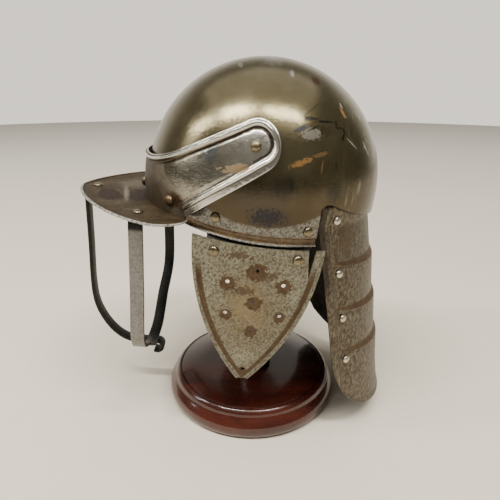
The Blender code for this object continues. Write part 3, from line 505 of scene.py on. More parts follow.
# Painted highlight: pale streaks laid over the back of the bowl.
streak_highlight = noise(stretched(place, (0.10, 0.30, 0.035), (math.radians(8.0), 0.0, 0.0)), 1.0, 4.0, 0.6)
behind = ramped(away["Y"], 45.0, 85.0)
colour = mixed(colour, (0.36, 0.34, 0.29), times(behind, ramped(streak_highlight, 0.55, 0.68, 0.0, 0.7)))
steel = mottled((0.078, 0.073, 0.062), (0.200, 0.192, 0.170), noise(place, 0.5, 4.0))
colour = mixed(colour, steel, polished)
down = mark_of(tree, "down")
groove = between(down, 3.6, 4.4, 8.8, 9.6)
colour = mixed(colour, (0.46, 0.445, 0.415), ramped(down, 9.6, 10.2, 0.0, 0.8))
rust = mottled((0.075, 0.042, 0.016), (0.120, 0.073, 0.031), noise(place, 0.12, 3.0))
colour = mixed(colour, rust, times(groove, 0.95))
surfaced(tree, fine, 0.00012, Base_Color=colour,
         Roughness=plus(ramped(fine, 0.3, 0.75, 0.14, 0.23), times(polished, 0.08)),
         Metallic=ramped(most(times(groove, 0.75), painted), 0.0, 1.0, 0.82, 0.05))
add_piece("skull_bowl", bm, material, "body", ["skull"], wall=SHEET, lining=inside)


# Rivets
# Domed heads of brass and steel hold the straps, the lames and the visor. Each one sits on the
# plate that it goes through, hammered over on the other side.
def chain(bm, points):
    """Vertices at some points, joined one to the next."""
    verts = [bm.verts.new(point) for point in points]
    return verts, [bm.edges.new(pair) for pair in zip(verts, verts[1:])]


def spun(bm, profile, steps):
    """A profile of radii and heights turned about the upright axis."""
    verts, edges = chain(bm, [(out, 0.0, up) for out, up in profile])
    bmesh.ops.spin(bm, geom=verts + edges, cent=(0.0, 0.0, 0.0), axis=(0.0, 0.0, 1.0),
                   angle=2.0 * math.pi, steps=steps, use_merge=True)


def welded(bm):
    bmesh.ops.remove_doubles(bm, verts=bm.verts, dist=1e-6)
    bmesh.ops.recalc_face_normals(bm, faces=bm.faces)
    return bm


def rivet_heads(places, radius, height):
    """Domed heads, each at a place and along a direction."""
    bm = bmesh.new()
    profile = [(0.0, 0.0), (radius, 0.0), (radius, height * 0.12)]
    profile += [(radius * math.cos(angle), height * (0.12 + 0.88 * math.sin(angle)))
                for angle in spread(0.12, math.pi / 2.0, 7)[:-1]]
    profile.append((0.0, height))
    for place, normal in places:
        spun(bm, profile, 24)
        made = [vert for vert in bm.verts if not vert.tag]
        turn = Vector(normal).to_track_quat("Z", "Y").to_matrix().to_4x4()
        seat = Matrix.Translation(Vector(place) + Vector(normal).normalized() * 0.0003)
        bmesh.ops.transform(bm, matrix=seat @ turn, verts=made)
        for vert in made:
            vert.tag = True
    return welded(bm)


def seat_on(surface, first, second):
    """A place on a surface and its outward direction there."""
    point = surface(first, second, 0.0)
    return point, (surface(first, second, 0.001) - point).normalized()


def rivet_finish(name, bright, dark, roughness):
    material, tree = new_material(name)
    grime = noise(helmet_place(tree), 0.9, 4.0, 0.6)
    surfaced(tree, grime, 0.00015, Base_Color=mottled(bright, dark, grime, 0.45, 0.7),
             Roughness=ramped(grime, 0.3, 0.7, roughness - 0.08, roughness + 0.15), Metallic=1.0)
    return material


brass = rivet_finish("rivet_brass", (0.231, 0.195, 0.124), (0.110, 0.085, 0.047), 0.30)
seats = []
for side in (1.0, -1.0):
    for y, above in ((-0.041, 0.0145), (0.033, 0.0125)):
        azimuth = side_azimuth(y, EDGE_Z / 2.0, SKULL)
        seats.append(seat_on(lambda a, z, out: dome_point(a, z, SKULL, out), side * azimuth,
                             skull_edge_z(azimuth) + above))
add_piece("skull_rivets", rivet_heads(seats, 0.0042, 0.0026), brass, "body",
          [f"skull_rivet_{label}_{end}" for label in ("front", "rear")
           for end in ("left", "right")])


# Brow plate
# A polished band of sheet steel bent round the brow, its arms turning on a rivet over each ear.
# Its edge is raised in a bead, with a flat strip outside the bead along the arms' undersides.
PATTERN_RADIUS = 0.110
PIVOT = (0.1572, 0.0406)
ARM_END = 0.0193
CORNER = (0.103, -0.0217)
TOP_BEND = (0.070, 0.020)
BEND_REACH = 0.030
STRIP_WIDE = 0.0052
STRIP_LEAST = 0.0010


def brow_surface(along, up, height):
    return dome_point(along / PATTERN_RADIUS, up, PLATE, height)


def tangent_angle(point, centre, radius, side):
    dx = point[0] - centre[0]
    dy = point[1] - centre[1]
    return math.atan2(dy, dx) + side * math.acos(radius / math.hypot(dx, dy))


def along_line(start, end, step):
    """Points from start towards end, without the end."""
    count = max(1, round((Vector(end) - Vector(start)).length / step))
    return [Vector(start).lerp(Vector(end), i / count) for i in range(count)]


def brow_half():
    """Half of the outline with the strip's width and the bead's height at each point."""
    low = tangent_angle(CORNER, PIVOT, ARM_END, 1.0)
    high = tangent_angle(TOP_BEND, PIVOT, ARM_END, -1.0)
    turn = (high - low) % (2.0 * math.pi)
    end = [Vector((PIVOT[0] + ARM_END * math.cos(angle), PIVOT[1] + ARM_END * math.sin(angle)))
           for angle in spread(low, low + turn, 36)]
    rows = [(point, STRIP_LEAST, 0.0) for point in along_line((0.0, CORNER[1]), CORNER, 0.003)]
    slope = along_line(CORNER, end[0], 0.002)
    for i, point in enumerate(slope):
        share = i / len(slope)
        rows.append((point, STRIP_WIDE - 0.0012 * share, min(1.0, share * 7.0)))
    for i, point in enumerate(end):
        rows.append((point, STRIP_LEAST + 0.0030 * max(0.0, 1.0 - i / 12.0), 1.0))
    start = end[-1]
    bend = Vector(TOP_BEND)
    first = bend.lerp(start, BEND_REACH / (start - bend).length)
    last = bend - Vector((BEND_REACH, 0.0))
    top = along_line(start, first, 0.002)[1:]
    top += [first.lerp(bend, t).lerp(bend.lerp(last, t), t) for t in spread(0.0, 1.0, 20)]
    top += along_line(last, (0.0, bend.y), 0.003)[1:] + [Vector((0.0, bend.y))]
    return rows + [(point, STRIP_LEAST, 1.0) for point in top]


def beaded_sheet(rows, profile):
    """A flat sheet whose border follows a profile of distances in and heights, then plain."""
    bm = bmesh.new()
    count = len(rows)
    loops = []
    for step, (inward, up) in enumerate(profile):
        loop = []
        for i, (point, strip, bead) in enumerate(rows):
            ahead = (rows[(i + 1) % count][0] - rows[i - 1][0]).normalized()
            reach = inward if step < 2 else strip + inward
            place = point + Vector((-ahead.y, ahead.x)) * reach
            loop.append(bm.verts.new((place.x, place.y, up * bead)))
        loops.append(loop)
    for outer, inner in zip(loops, loops[1:]):
        for i in range(count):
            bm.faces.new((outer[i], outer[(i + 1) % count], inner[(i + 1) % count], inner[i]))
    bm.faces.new(loops[-1])
    return bm


def turned_out(bm, direction):
    """Turn all faces of an open sheet so that those across a direction look along it."""
    bmesh.ops.recalc_face_normals(bm, faces=bm.faces)
    bm.normal_update()
    direction = Vector(direction)
    widest = max(bm.faces, key=lambda face: abs(face.normal.dot(direction)))
    if widest.normal.dot(direction) < 0.0:
        bmesh.ops.reverse_faces(bm, faces=bm.faces)


half = brow_half()
outline = half + [(Vector((-point.x, point.y)), strip, bead)
                  for point, strip, bead in half[-2:0:-1]]
PROFILE = ((0.0, 0.0), (0.0005, 0.0002), (0.0, 0.0002), (0.0003, -0.0001), (0.0007, 0.0006),
           (0.0013, 0.0014), (0.0021, 0.0018), (0.0029, 0.0016), (0.0037, 0.0009),
           (0.0044, 0.0001), (0.0052, -0.0003), (0.0066, -0.0003), (0.0082, 0.0))
bm = beaded_sheet(outline, PROFILE)
bead_layer = bm.verts.layers.float.new("from_bead")
ring = len(outline)
field = len(PROFILE) - 1
for index, vert in enumerate(bm.verts):
    beaded = outline[index % ring][2] > 0.35
    vert[bead_layer] = float(min(index // ring, field) if beaded else field)
reach = PIVOT[0] + ARM_END
for direction, places in (((1.0, 0.0, 0.0), spread(-reach, reach, 130)[1:-1]),
                          ((0.0, 1.0, 0.0), spread(CORNER[1], PIVOT[1] + ARM_END, 28)[1:-1])):
    for cut in places:
        bmesh.ops.bisect_plane(bm, geom=everything(bm), dist=1e-6,
                               plane_co=Vector(direction) * cut, plane_no=direction)
for vert in bm.verts:
    vert.co = brow_surface(*vert.co)
turned_out(bm, (0.0, -1.0, 0.0))

material, tree = new_material("brow_steel")
place = helmet_place(tree)
away = apart(place)
ring_number = mark_of(tree, "from_bead")
fine = noise(place, 0.6, 5.0, 0.65)
colour = mottled((0.33, 0.31, 0.245), (0.52, 0.50, 0.43), noise(place, 0.05, 4.0, 0.6))
colour = mixed(colour, (0.66, 0.645, 0.60), ramped(away["Y"], -45.0, -15.0, 0.0, 0.8))
colour = stained(colour, place, (
    ((0.25, 0.29, 0.36), 0.6, (93, -48, 32), (20, 7, 11), 1.0, 0.12, 0.7, (-20, 0, 0)),
    ((0.22, 0.225, 0.215), 0.3, (91, -57, 17), (20, 13, 9), 3.0, 0.5, 0.4),
    ((0.30, 0.31, 0.32), 0.25, (98, -40, 20), (20, 15, 5), 2.6, 0.3, 0.5, (25, 0, 0)),
))
patch = stain(place, (102, -27, 24), (20, 14, 3.6), 2.4, 0.34, 0.3, (10, 0, 0))
colour = mixed(colour, (0.27, 0.175, 0.075), times(patch, 0.85))
front = plus(away["Y"], times(away["Z"], 0.55))
front = plus(front, times(noise(place, 0.06, 4.0, 0.6), 26.0))
rusted = ramped(front, -56.0, -80.0)
rust = mottled((0.022, 0.0115, 0.003), (0.042, 0.024, 0.007), noise(place, 0.09, 4.0))
colour = mixed(colour, (0.12, 0.088, 0.042), ramped(front, -38.0, -62.0, 0.0, 0.55))
colour = mixed(colour, rust, times(rusted, 0.92))
halo = stain(place, (78, -75, -9), (14, 11, 8.5), 0.7, 0.2, 0.45)
colour = mixed(colour, (0.07, 0.029, 0.011), times(halo, 0.85))
above = plus(away["Z"], times(away["Y"], -0.36))
valley = times(between(ring_number, 8.2, 9.2, 11.0, 11.9), ramped(above, 28.0, 42.0, 0.12, 0.95))
colour = mixed(colour, (0.045, 0.028, 0.015), times(valley, ramped(fine, 0.25, 0.6, 0.7, 1.0)))
# Painted shade: the crease at the bead's outer foot is darkened.
crease_shade = between(ring_number, 2.2, 2.9, 3.4, 4.2)
colour = mixed(colour, (0.05, 0.045, 0.04), times(crease_shade, 0.8))
# Painted highlight: the bead's crest is lightened.
crest_highlight = between(ring_number, 4.4, 5.4, 7.2, 8.0)
colour = mixed(colour, (0.72, 0.70, 0.66), times(crest_highlight, 0.7))
strip = times(ramped(ring_number, 2.6, 2.2), ramped(away["Z"], 52.0, 40.0))
colour = mixed(colour, (0.62, 0.60, 0.57), times(strip, 0.6))
surfaced(tree, plus(times(noise(place, 0.07, 2.0), 3.0), fine), 0.0002, Base_Color=colour,
         Roughness=plus(ramped(fine, 0.3, 0.7, 0.11, 0.20), times(rusted, 0.32)),
         Metallic=ramped(most(rusted, times(patch, 0.8)), 0.0, 1.0, 0.95, 0.25))
add_piece("brow_band", bm, material, "visor", ["brow_plate"], wall=SHEET,
          lining=inside)

rusty = rivet_finish("rivet_rusted", (0.20, 0.14, 0.085), (0.10, 0.06, 0.03), 0.42)
seats = [seat_on(lambda a, z, out: dome_point(a, z, PLATE, out), math.radians(degrees), -0.0109)
         for degrees in (-45.0, -7.0, 7.0, 45.0)]
add_piece("brow_rivets", rivet_heads(seats, 0.0044, 0.0034), rusty, "visor",
          [f"brow_rivet_{number}" for number in (1, 2, 3, 4)])

SHANK_RADIUS = 0.0022
BURR_RADIUS = 0.0036
bm = rivet_heads([seat_on(brow_surface, side * PIVOT[0], PIVOT[1]) for side in (1.0, -1.0)],
                 0.0040, 0.0029)
hub = brow_surface(*PIVOT, 0.0)
shank_end = dome_point(side_azimuth(hub.y, hub.z, SKULL), hub.z, SKULL, -SHEET).x - 0.0022
for side in (1.0, -1.0):
    for radius, start, stop in ((SHANK_RADIUS, shank_end - 0.0004, hub.x + 0.0008),
                                (BURR_RADIUS, shank_end - 0.0012, shank_end)):
        seat = Matrix.Translation((side * (start + stop) / 2.0, hub.y, hub.z))
        bmesh.ops.create_cone(bm, cap_ends=True, segments=20, radius1=radius, radius2=radius,
                              depth=stop - start,
                              matrix=seat @ Matrix.Rotation(math.radians(90.0), 4, "Y"))
add_piece("pivot_rivets", bm, brass, "visor",
          ["pivot_rivet_left", "pivot_rivet_right"])


# Peak
# A flat sheet fixed behind the brow plate by its turned-up rear edge; its rim is rolled over a
# wire, with a fine line cut inside it. The steel has gone brown, with worn bright places.
PEAK_Z = -0.022
PEAK_ROOT_Y = -0.086
FRONT_SHARE = 0.84


def peak_edge(share):
    """A point of the rim in plan, from the tip at 0 to the rear corner at 1."""
    if share < FRONT_SHARE:
        angle = math.radians(90.0) * (1.0 - share / FRONT_SHARE)
        power = 2.0 / 1.5
        return Vector((0.111 * math.cos(angle) ** power,
                       PEAK_ROOT_Y - 0.0875 * math.sin(angle) ** power))
    angle = math.radians(90.0) * (share - FRONT_SHARE) / (1.0 - FRONT_SHARE)
    return Vector((0.0925 + 0.0185 * math.cos(angle), PEAK_ROOT_Y + 0.0235 * math.sin(angle)))


def grid_sheet(columns, rows, point, layer=None):
    """An open sheet; each vertex takes its point, and its mark for the layer, from its place."""
    bm = bmesh.new()
    bmesh.ops.create_grid(bm, x_segments=columns, y_segments=rows, size=1.0)
    marks = bm.verts.layers.float.new(layer) if layer else None
    for vert in bm.verts:
        column = round((vert.co.x + 1.0) / 2.0 * columns)
        row = round((vert.co.y + 1.0) / 2.0 * rows)
        vert.co, mark = point(column, row)
        if layer:
            vert[marks] = mark
    return bm


sweep = CORNER[0] / PATTERN_RADIUS
behind_plate = -SHEET - 0.0006
columns = []
for share in spread(-1.0, 1.0, 112):
    azimuth = share * sweep
    root = dome_point(azimuth, PEAK_Z, PLATE, behind_plate)
    edge = peak_edge(abs(share))
    rim = Vector((math.copysign(edge.x, share), edge.y, PEAK_Z))
    ahead = (rim - root).normalized()
    column = [dome_point(azimuth, PEAK_Z + up, PLATE, behind_plate)
              for up in (0.016, 0.008, 0.0015)]
    column += [root.lerp(rim - ahead * 0.0050, part) for part in spread(0.0, 1.0, 10)]
    column += [rim - ahead * back + Vector((0.0, 0.0, up)) for back, up in (
        (0.0044, -0.0003), (0.0038, -0.0003), (0.0032, 0.0001), (0.0026, 0.0007),
        (0.0016, 0.0010), (0.0006, 0.0006), (0.0, -0.0002))]
    columns.append(column)
bm = grid_sheet(len(columns) - 1, len(columns[0]) - 1,
                lambda column, row: (columns[column][row], float(row)), "row")
turned_out(bm, (0.0, 0.0, 1.0))

material, tree = new_material("peak_steel")
place = helmet_place(tree)
row = mark_of(tree, "row")
fine = noise(place, 0.5, 5.0, 0.7)
colour = mottled((0.024, 0.016, 0.0075), (0.045, 0.032, 0.017), noise(place, 0.045, 4.0, 0.6))
scuffs = noise(stretched(place, (0.9, 0.12, 0.3), (0.0, 0.0, math.radians(35.0))), 1.0, 4.0, 0.7)
colour = mixed(colour, (0.16, 0.138, 0.105), ramped(scuffs, 0.58, 0.70, 0.0, 0.5))
colour = stained(colour, place, (
    ((0.015, 0.0085, 0.0055), 0.92, (31, -139, -21), (27, 11.5, 20), 0.9, 0.09, 0.3, (0, 0, 22)),
    ((0.016, 0.009, 0.006), 0.92, (27, -114, -21), (28, 11, 20), 0.9, 0.1, 0.3, (0, 0, 6)),
    ((0.13, 0.118, 0.096), 0.45, (-20, -125, -21), (26, 22, 20), 1.4, 0.12, 0.7),
    ((0.18, 0.16, 0.13), 0.6, (20, -127, -21), (34, 3.0, 20), 2.2, 0.4, 0.6, (0, 0, 14)),
))
colour = mixed(colour, (0.035, 0.024, 0.016), ramped(fine, 0.60, 0.78, 0.0, 0.6))
colour = mixed(colour, (0.030, 0.022, 0.016), times(between(row, 12.8, 13.4, 14.8, 15.6), 0.85))
worn = times(ramped(row, 17.0, 18.0), ramped(fine, 0.4, 0.6, 0.85, 0.2))
colour = mixed(colour, (0.42, 0.40, 0.375), worn)
surfaced(tree, fine, 0.0002, Base_Color=colour, Roughness=ramped(fine, 0.3, 0.7, 0.50, 0.68),
         Metallic=0.05, Specular_IOR_Level=0.12)
add_piece("peak_sheet", bm, material, "visor", ["peak"], wall=SHEET, lining=inside)

seats = [(Vector((x, y, PEAK_Z)), Vector((0.0, 0.0, 1.0)))
         for x, y in ((0.0, -0.1585), (0.079, -0.1035), (-0.079, -0.1035))]
add_piece("peak_rivets", rivet_heads(seats, 0.0042, 0.0019), brass, "visor",
          ["peak_rivet_centre", "peak_rivet_left", "peak_rivet_right"])


# Face bars
# Flat iron bars riveted under the peak: one bent into a U in front of the cheeks, and one down
# the middle that turns back under it and ends in a curl. The near leg's outer face is worn grey.
BAR_WIDTH = 0.0115
BAR = 0.0034
BEND = 0.005
SIDE = (0.089, 0.1035, 0.163)
SIDE_BULGE = 0.002
SIDE_LEAN = 0.0025
TAB = 0.020
MIDDLE_FORWARD = 0.1685
MIDDLE_BACK = 0.070
CURL = 0.006
GAP = 0.0003


def smooth_path(points, steps):
    """A smooth curve through a few points."""
    path = []
    ends = [points[0]] + points + [points[-1]]
    for before, start, end, after in zip(ends, ends[1:], ends[2:], ends[3:]):
        for i in range(steps):
            t = i / steps
            path.append(0.5 * (2.0 * start + (end - before) * t
                               + (2.0 * before - 5.0 * start + 4.0 * end - after) * t ** 2
                               + (3.0 * start - before - 3.0 * end + after) * t ** 3))
    return path + [points[-1]]


def flat_bar(path, across):
    """An open strip along a path, two faces wide, its width along one direction."""
    bm = bmesh.new()
    across = Vector(across)
    half = across * BAR_WIDTH / 2.0
    _, edges = chain(bm, [point - half for point in path])
    for _ in range(2):
        result = bmesh.ops.extrude_edge_only(bm, edges=edges)
        bmesh.ops.translate(bm, vec=half, verts=only(bmesh.types.BMVert, result))
        edges = [edge for edge in only(bmesh.types.BMEdge, result)
                 if abs((edge.verts[0].co - edge.verts[1].co).normalized().dot(across)) < 0.5]
    bmesh.ops.recalc_face_normals(bm, faces=bm.faces)
    return bm


def tab_bend(inner, outer, under):
    turn = math.copysign(BEND, outer - inner)
    return [(inner, under)] + [(outer - turn + turn * math.sin(angle),
                                under - BEND * (1.0 - math.cos(angle)))
                               for angle in spread(0.0, math.radians(90.0), 8)]


def mirrored(points):
    return [Vector((-point.x, point.y, point.z)) for point in points[::-1]]


def bar_material(name, worn):
    """Black iron; the worn one turns to zinc grey down the left leg."""
    material, tree = new_material(name)
    place = helmet_place(tree)
    fine = noise(place, 0.45, 5.0, 0.65)
    colour = mottled((0.010, 0.010, 0.009), (0.030, 0.029, 0.026), fine, 0.4, 0.7)
    if worn:
        zinc = mottled((0.17, 0.165, 0.152), (0.27, 0.264, 0.25), fine)
        pits = ramped(noise(place, 1.3, 4.0), 0.58, 0.72, 0.0, 0.7)
        away = apart(place)
        outer = times(ramped(away["X"], 2.0, 14.0), ramped(away["Z"], -32.0, -36.0))
        colour = mixed(colour, mixed(zinc, (0.08, 0.077, 0.073), pits), outer)
    surfaced(tree, fine, 0.0003, Base_Color=colour, Metallic=0.7,
             Roughness=ramped(fine, 0.3, 0.7, 0.42, 0.6))
    return material


under = PEAK_Z - SHEET - GAP - BAR / 2.0
down = under - BEND
drop = SIDE[2] - BEND
tab = [Vector((x, -SIDE[1], z)) for x, z in tab_bend(SIDE[0] - TAB, SIDE[0], under)]
leg = [Vector((SIDE[0] + SIDE_BULGE * out, -SIDE[1] + SIDE_LEAN * lean, down - drop * share))
       for share, out, lean in ((0.34, 0.8, 0.6), (0.66, 1.0, 1.0))]
foot = [Vector((SIDE[0] * part, -SIDE[1] + SIDE_LEAN / 2.0, down - drop * share))
        for part, share in ((0.62, 0.83), (0.27, 0.955))]
near = tab[-1:] + leg + foot
curve = smooth_path(near + [Vector((0.0, -SIDE[1], down - drop))] + mirrored(near), 10)
bm = flat_bar(tab[:-1] + curve + mirrored(tab[:-1]), (0.0, 1.0, 0.0))
iron = bar_material("bar_iron", False)
mesh = finished(add_piece("side_bar", bm, iron, "visor", ["side_bars"],
                          wall=BAR, offset=0.0, soften=0.0005))
mesh.materials.append(bar_material("bar_iron_worn", True))
for face in mesh.polygons:
    if face.normal.x > 0.4 and face.center.x > 0.0:
        face.material_index = len(mesh.materials) - 1

low = under - SIDE[2] - BAR - GAP
tab = [Vector((0.0, y, z)) for y, z in tab_bend(-MIDDLE_FORWARD + TAB, -MIDDLE_FORWARD, under)]
curve = [tab[-1]] + [
    Vector((0.0, -MIDDLE_FORWARD + MIDDLE_BACK * back, down + (low - down) * share))
    for back, share in ((0.02, 0.30), (0.035, 0.60), (0.10, 0.76), (0.28, 0.90), (0.52, 0.985),
                        (0.78, 1.0), (1.0, 1.0))]
curl = [curve[-1] + Vector((0.0, math.sin(angle), math.cos(angle) - 1.0)) * CURL
        for angle in spread(0.0, math.radians(215.0), 20)[1:]]
bm = flat_bar(tab[:-1] + smooth_path(curve, 8) + curl, (1.0, 0.0, 0.0))
add_piece("middle_bar", bm, iron, "visor", ["centre_bar"],
          wall=BAR, offset=0.0, soften=0.0005)


# Cheek pieces
# Two shield-shaped plates hung under the ears, with a groove along both side edges, breathing
# holes that have rusted round their rims, and a narrow notch at the upper rear.
CHEEK_TOP = (0.108, -0.0045)
CHEEK_TIP = (0.0115, -0.0078, 0.1675)
CHEEK_BELOW = 0.0026
CHEEK_ROWS = 90
NOTCH = (0.0385, 0.0065, 0.026)
HOLE_RADIUS = 0.0018
HOLE_LEVEL = -0.086
HOLE_STEP = 0.0283
HOLE_SPREAD = 0.0230


def cheek_out(y, z):
    down = max(0.0, (-z + EDGE_Z) / (CHEEK_TIP[2] + EDGE_Z))
    return 0.0998 * math.sqrt(1.0 - (y / 0.142) ** 2) - 0.008 * down ** 2


def cheek_top_z(y):
    return skull_edge_z(side_azimuth(y, EDGE_Z, SKULL)) - CHEEK_BELOW


def cheek_side(share, sign):
    """Where the plate's front or rear edge is at a share of the way down."""
    half = (CHEEK_TIP[0] + (CHEEK_TOP[0] - CHEEK_TIP[0]) * (1.0 - share ** 2.1)) / 2.0
    return CHEEK_TOP[1] + (CHEEK_TIP[1] - CHEEK_TOP[1]) * share + sign * half


def breath_holes():
    places = [(CHEEK_TOP[1], HOLE_LEVEL + step * HOLE_STEP) for step in (1, 0, -1)]
    places += [(CHEEK_TOP[1] + side * HOLE_SPREAD, HOLE_LEVEL + step * HOLE_STEP)
               for side in (-1, 1) for step in (0.58, -0.46)]
    return places + [(CHEEK_TIP[1], -CHEEK_TIP[2] + 0.0105)]


def cheek_sheet(side):
    """The plate as a fine grid from the tip to the top edge, with a groove on each side."""
    border = (0.0, 0.0004, 0.0018, 0.0022, 0.0030, 0.0041, 0.0052, 0.0060, 0.0068)
    raised = (0.0, 0.0003, 0.0003, 0.0, -0.0006, -0.0008, -0.0007, -0.0001, 0.0)
    inner = spread(0.0, 1.0, 48)[1:-1]
    count = 2 * len(border) + len(inner) - 1

    def point(column, row):
        share = 1.0 - row / CHEEK_ROWS
        front, rear = cheek_side(share, -1.0), cheek_side(share, 1.0)
        scale = min(1.0, (rear - front) / 0.0150)
        last = count - column
        height = 0.0
        if column < len(border):
            y, height = front + border[column] * scale, raised[column]
        elif last < len(border):
            y, height = rear - border[last] * scale, raised[last]
        else:
            y = front + border[-1] * scale
            y += (rear - front - 2.0 * border[-1] * scale) * inner[column - len(border)]
        z = cheek_top_z(y) * (1.0 - share) - CHEEK_TIP[2] * share
        dished = sum(math.exp(-((y - a) ** 2 + (z - b) ** 2) / 0.0034 ** 2)
                     for a, b in breath_holes())
        grooved = clamped((-0.044 - z) / 0.014)
        return (side * (cheek_out(y, z) + height * grooved - 0.0006 * dished), y, z), 0.0

    bm = grid_sheet(count, CHEEK_ROWS, point)
    turned_out(bm, (side, 0.0, 0.0))
    return bm


def cheek_cutter(side):
    """The holes' drills and the notch's wedge, as one object."""
    bm = bmesh.new()
    turn = Matrix.Rotation(math.radians(90.0), 4, "Y")
    for y, z in breath_holes():
        bmesh.ops.create_cone(bm, cap_ends=True, segments=24, radius1=HOLE_RADIUS,
                              radius2=HOLE_RADIUS, depth=0.06,
                              matrix=Matrix.Translation((side * 0.095, y, z)) @ turn)
    above = cheek_top_z(NOTCH[0]) + NOTCH[2]
    face = bm.faces.new([bm.verts.new((side * 0.080, y, z)) for y, z in (
        (NOTCH[0] - NOTCH[1], above), (NOTCH[0], above - 2.0 * NOTCH[2]),
        (NOTCH[0] + NOTCH[1], above))])
    result = bmesh.ops.extrude_face_region(bm, geom=[face])
    bmesh.ops.translate(bm, vec=(side * 0.030, 0.0, 0.0), verts=only(bmesh.types.BMVert, result))
    bmesh.ops.recalc_face_normals(bm, faces=bm.faces)
    bmesh.ops.transform(bm, matrix=HELMET, verts=bm.verts)
    mesh = bpy.data.meshes.new("cheek_cutter")
    bm.to_mesh(mesh)
    bm.free()
    cutter = bpy.data.objects.new("cheek_cutter", mesh)
    bpy.context.scene.collection.objects.link(cutter)
    return cutter


material, tree = new_material("cheek_steel")
place = helmet_place(tree)
away = apart(place)
fine = noise(place, 0.45, 5.0, 0.7)
grain = noise(place, 1.4, 4.0, 0.7)
colour = mottled((0.085, 0.078, 0.055), (0.275, 0.264, 0.210), fine, 0.35, 0.62)
specks = times(ramped(grain, 0.44, 0.54),
               stain(place, (98, -10, -98), (60, 44, 66), 1.4, 0.05, 0.8))
colour = mixed(colour, (0.095, 0.063, 0.029), times(specks, 0.85))
tan = stain(place, (98, -8, -92), (60, 26, 32), 1.4, 0.06, 0.9)
colour = mixed(colour, (0.25, 0.20, 0.115), times(tan, 0.55))
scratch = noise(stretched(place, (0.1, 2.4, 0.16), (math.radians(-32.0), 0.0, 0.0)), 1.0, 3.0, 0.6)
scored = times(ramped(scratch, 0.52, 0.62, 0.0, 0.7), ramped(away["Y"], -15.0, 15.0))
colour = mixed(colour, (0.09, 0.074, 0.050), scored)
share = reckoned("DIVIDE", minus(-35.0, away["Z"]), 129.5)
half = minus(54.0, times(reckoned("POWER", share, 2.1), 48.25))
centre = minus(-4.5, times(share, 3.3))
inner = minus(half, reckoned("ABSOLUTE", minus(away["Y"], centre)))
rust = times(between(inner, 2.4, 3.2, 7.4, 8.6), ramped(away["Z"], -50.0, -66.0))
for (y, z), size in zip(breath_holes(), (8.6, 7.4, 6.2, 7.2, 5.4, 7.2, 5.8, 4.8)):
    rust = most(rust, stain(place, (98, y * 1000.0, z * 1000.0 - 1.2), (40, size, size),
                            1.9, 0.34, 0.12))
for centre, size in (((98, 6, -62), (40, 9, 3.5)), ((98, -14, -76), (40, 10, 4)),
                     ((98, -20, -46), (40, 12, 4))):
    rust = most(rust, times(stain(place, centre, size, 3.4, 0.45, 0.25), 0.8))
rust_colour = mottled((0.056, 0.030, 0.011), (0.092, 0.054, 0.022), noise(place, 0.3, 3.0))
surfaced(tree, plus(grain, times(scratch, 0.6)), 0.00015,
         Base_Color=mixed(colour, rust_colour, rust),
         Roughness=plus(ramped(fine, 0.3, 0.7, 0.36, 0.5), times(rust, 0.25)),
         Metallic=ramped(rust, 0.0, 1.0, 0.9, 0.25))
for side, end in ((1.0, "left"), (-1.0, "right")):
    cutter = cheek_cutter(side)
    piece = add_piece(f"cheek_plate_{end}", cheek_sheet(side), material, "body",
                      [f"cheek_piece_{end}"], wall=SHEET, lining=inside)
    boolean = piece.modifiers.new("holes", "BOOLEAN")
    boolean.operation = "DIFFERENCE"
    boolean.solver = "EXACT"
    boolean.object = cutter
    finished(piece)
    bpy.data.objects.remove(cutter, do_unlink=True)

seats = []
for side in (1.0, -1.0):
    for y, below in ((-0.0405, 0.0095), (0.0275, 0.0085)):
        z = cheek_top_z(y) - below
        slope = (cheek_out(y + 0.001, z) - cheek_out(y, z)) / 0.001
        seats.append((Vector((side * cheek_out(y, z), y, z)), Vector((side, -slope, 0.0))))
add_piece("cheek_rivets", rivet_heads(seats, 0.0043, 0.0028), brass, "body",
          [f"cheek_rivet_{label}_{end}" for label in ("front", "rear")
           for end in ("left", "right")])


# Straps
# Black leather tabs that carry the cheek pieces, two a side. Each is riveted inside the skull and
# inside the cheek piece, so that only the gap between the two plates shows it.
LEATHER = 0.002
STRAP_LOW = -0.052
STRAP_HEIGHT = 0.038


def strap_out(y, z):
    azimuth = side_azimuth(y, EDGE_Z, SKULL)
    skull_side = dome_point(azimuth, EDGE_Z, SKULL, -0.0033).x
    cheek_face = cheek_out(y, z) - SHEET - 0.0013
    share = clamped((skull_edge_z(azimuth) + 0.001 - z) / 0.0086)
    return min(skull_side, cheek_face) * (1.0 - share) + cheek_face * share


material, tree = new_material("black_leather")
grain = add_node(tree, "ShaderNodeTexVoronoi", Vector=helmet_place(tree),
                 Scale=1.1).outputs["Distance"]
surfaced(tree, grain, 0.0002, Roughness=ramped(grain, 0.1, 0.7, 0.5, 0.72),
         Base_Color=mottled((0.012, 0.011, 0.010), (0.035, 0.030, 0.026), grain, 0.2, 0.7))
for side, end in ((1.0, "left"), (-1.0, "right")):
    for label, start, stop in (("front", -0.0470, -0.0105), ("rear", -0.0085, 0.0370)):
        def strap_point(column, row):
            y = start + (stop - start) * column / 16
            z = STRAP_LOW + STRAP_HEIGHT * row / 24
            return (side * strap_out(y, z), y, z), 0.0
        bm = grid_sheet(16, 24, strap_point)
        turned_out(bm, (side, 0.0, 0.0))
        add_piece(f"strap_{label}_{end}_leather", bm, material, "body",
                  [f"strap_{label}_{end}"], wall=LEATHER, soften=0.0004)


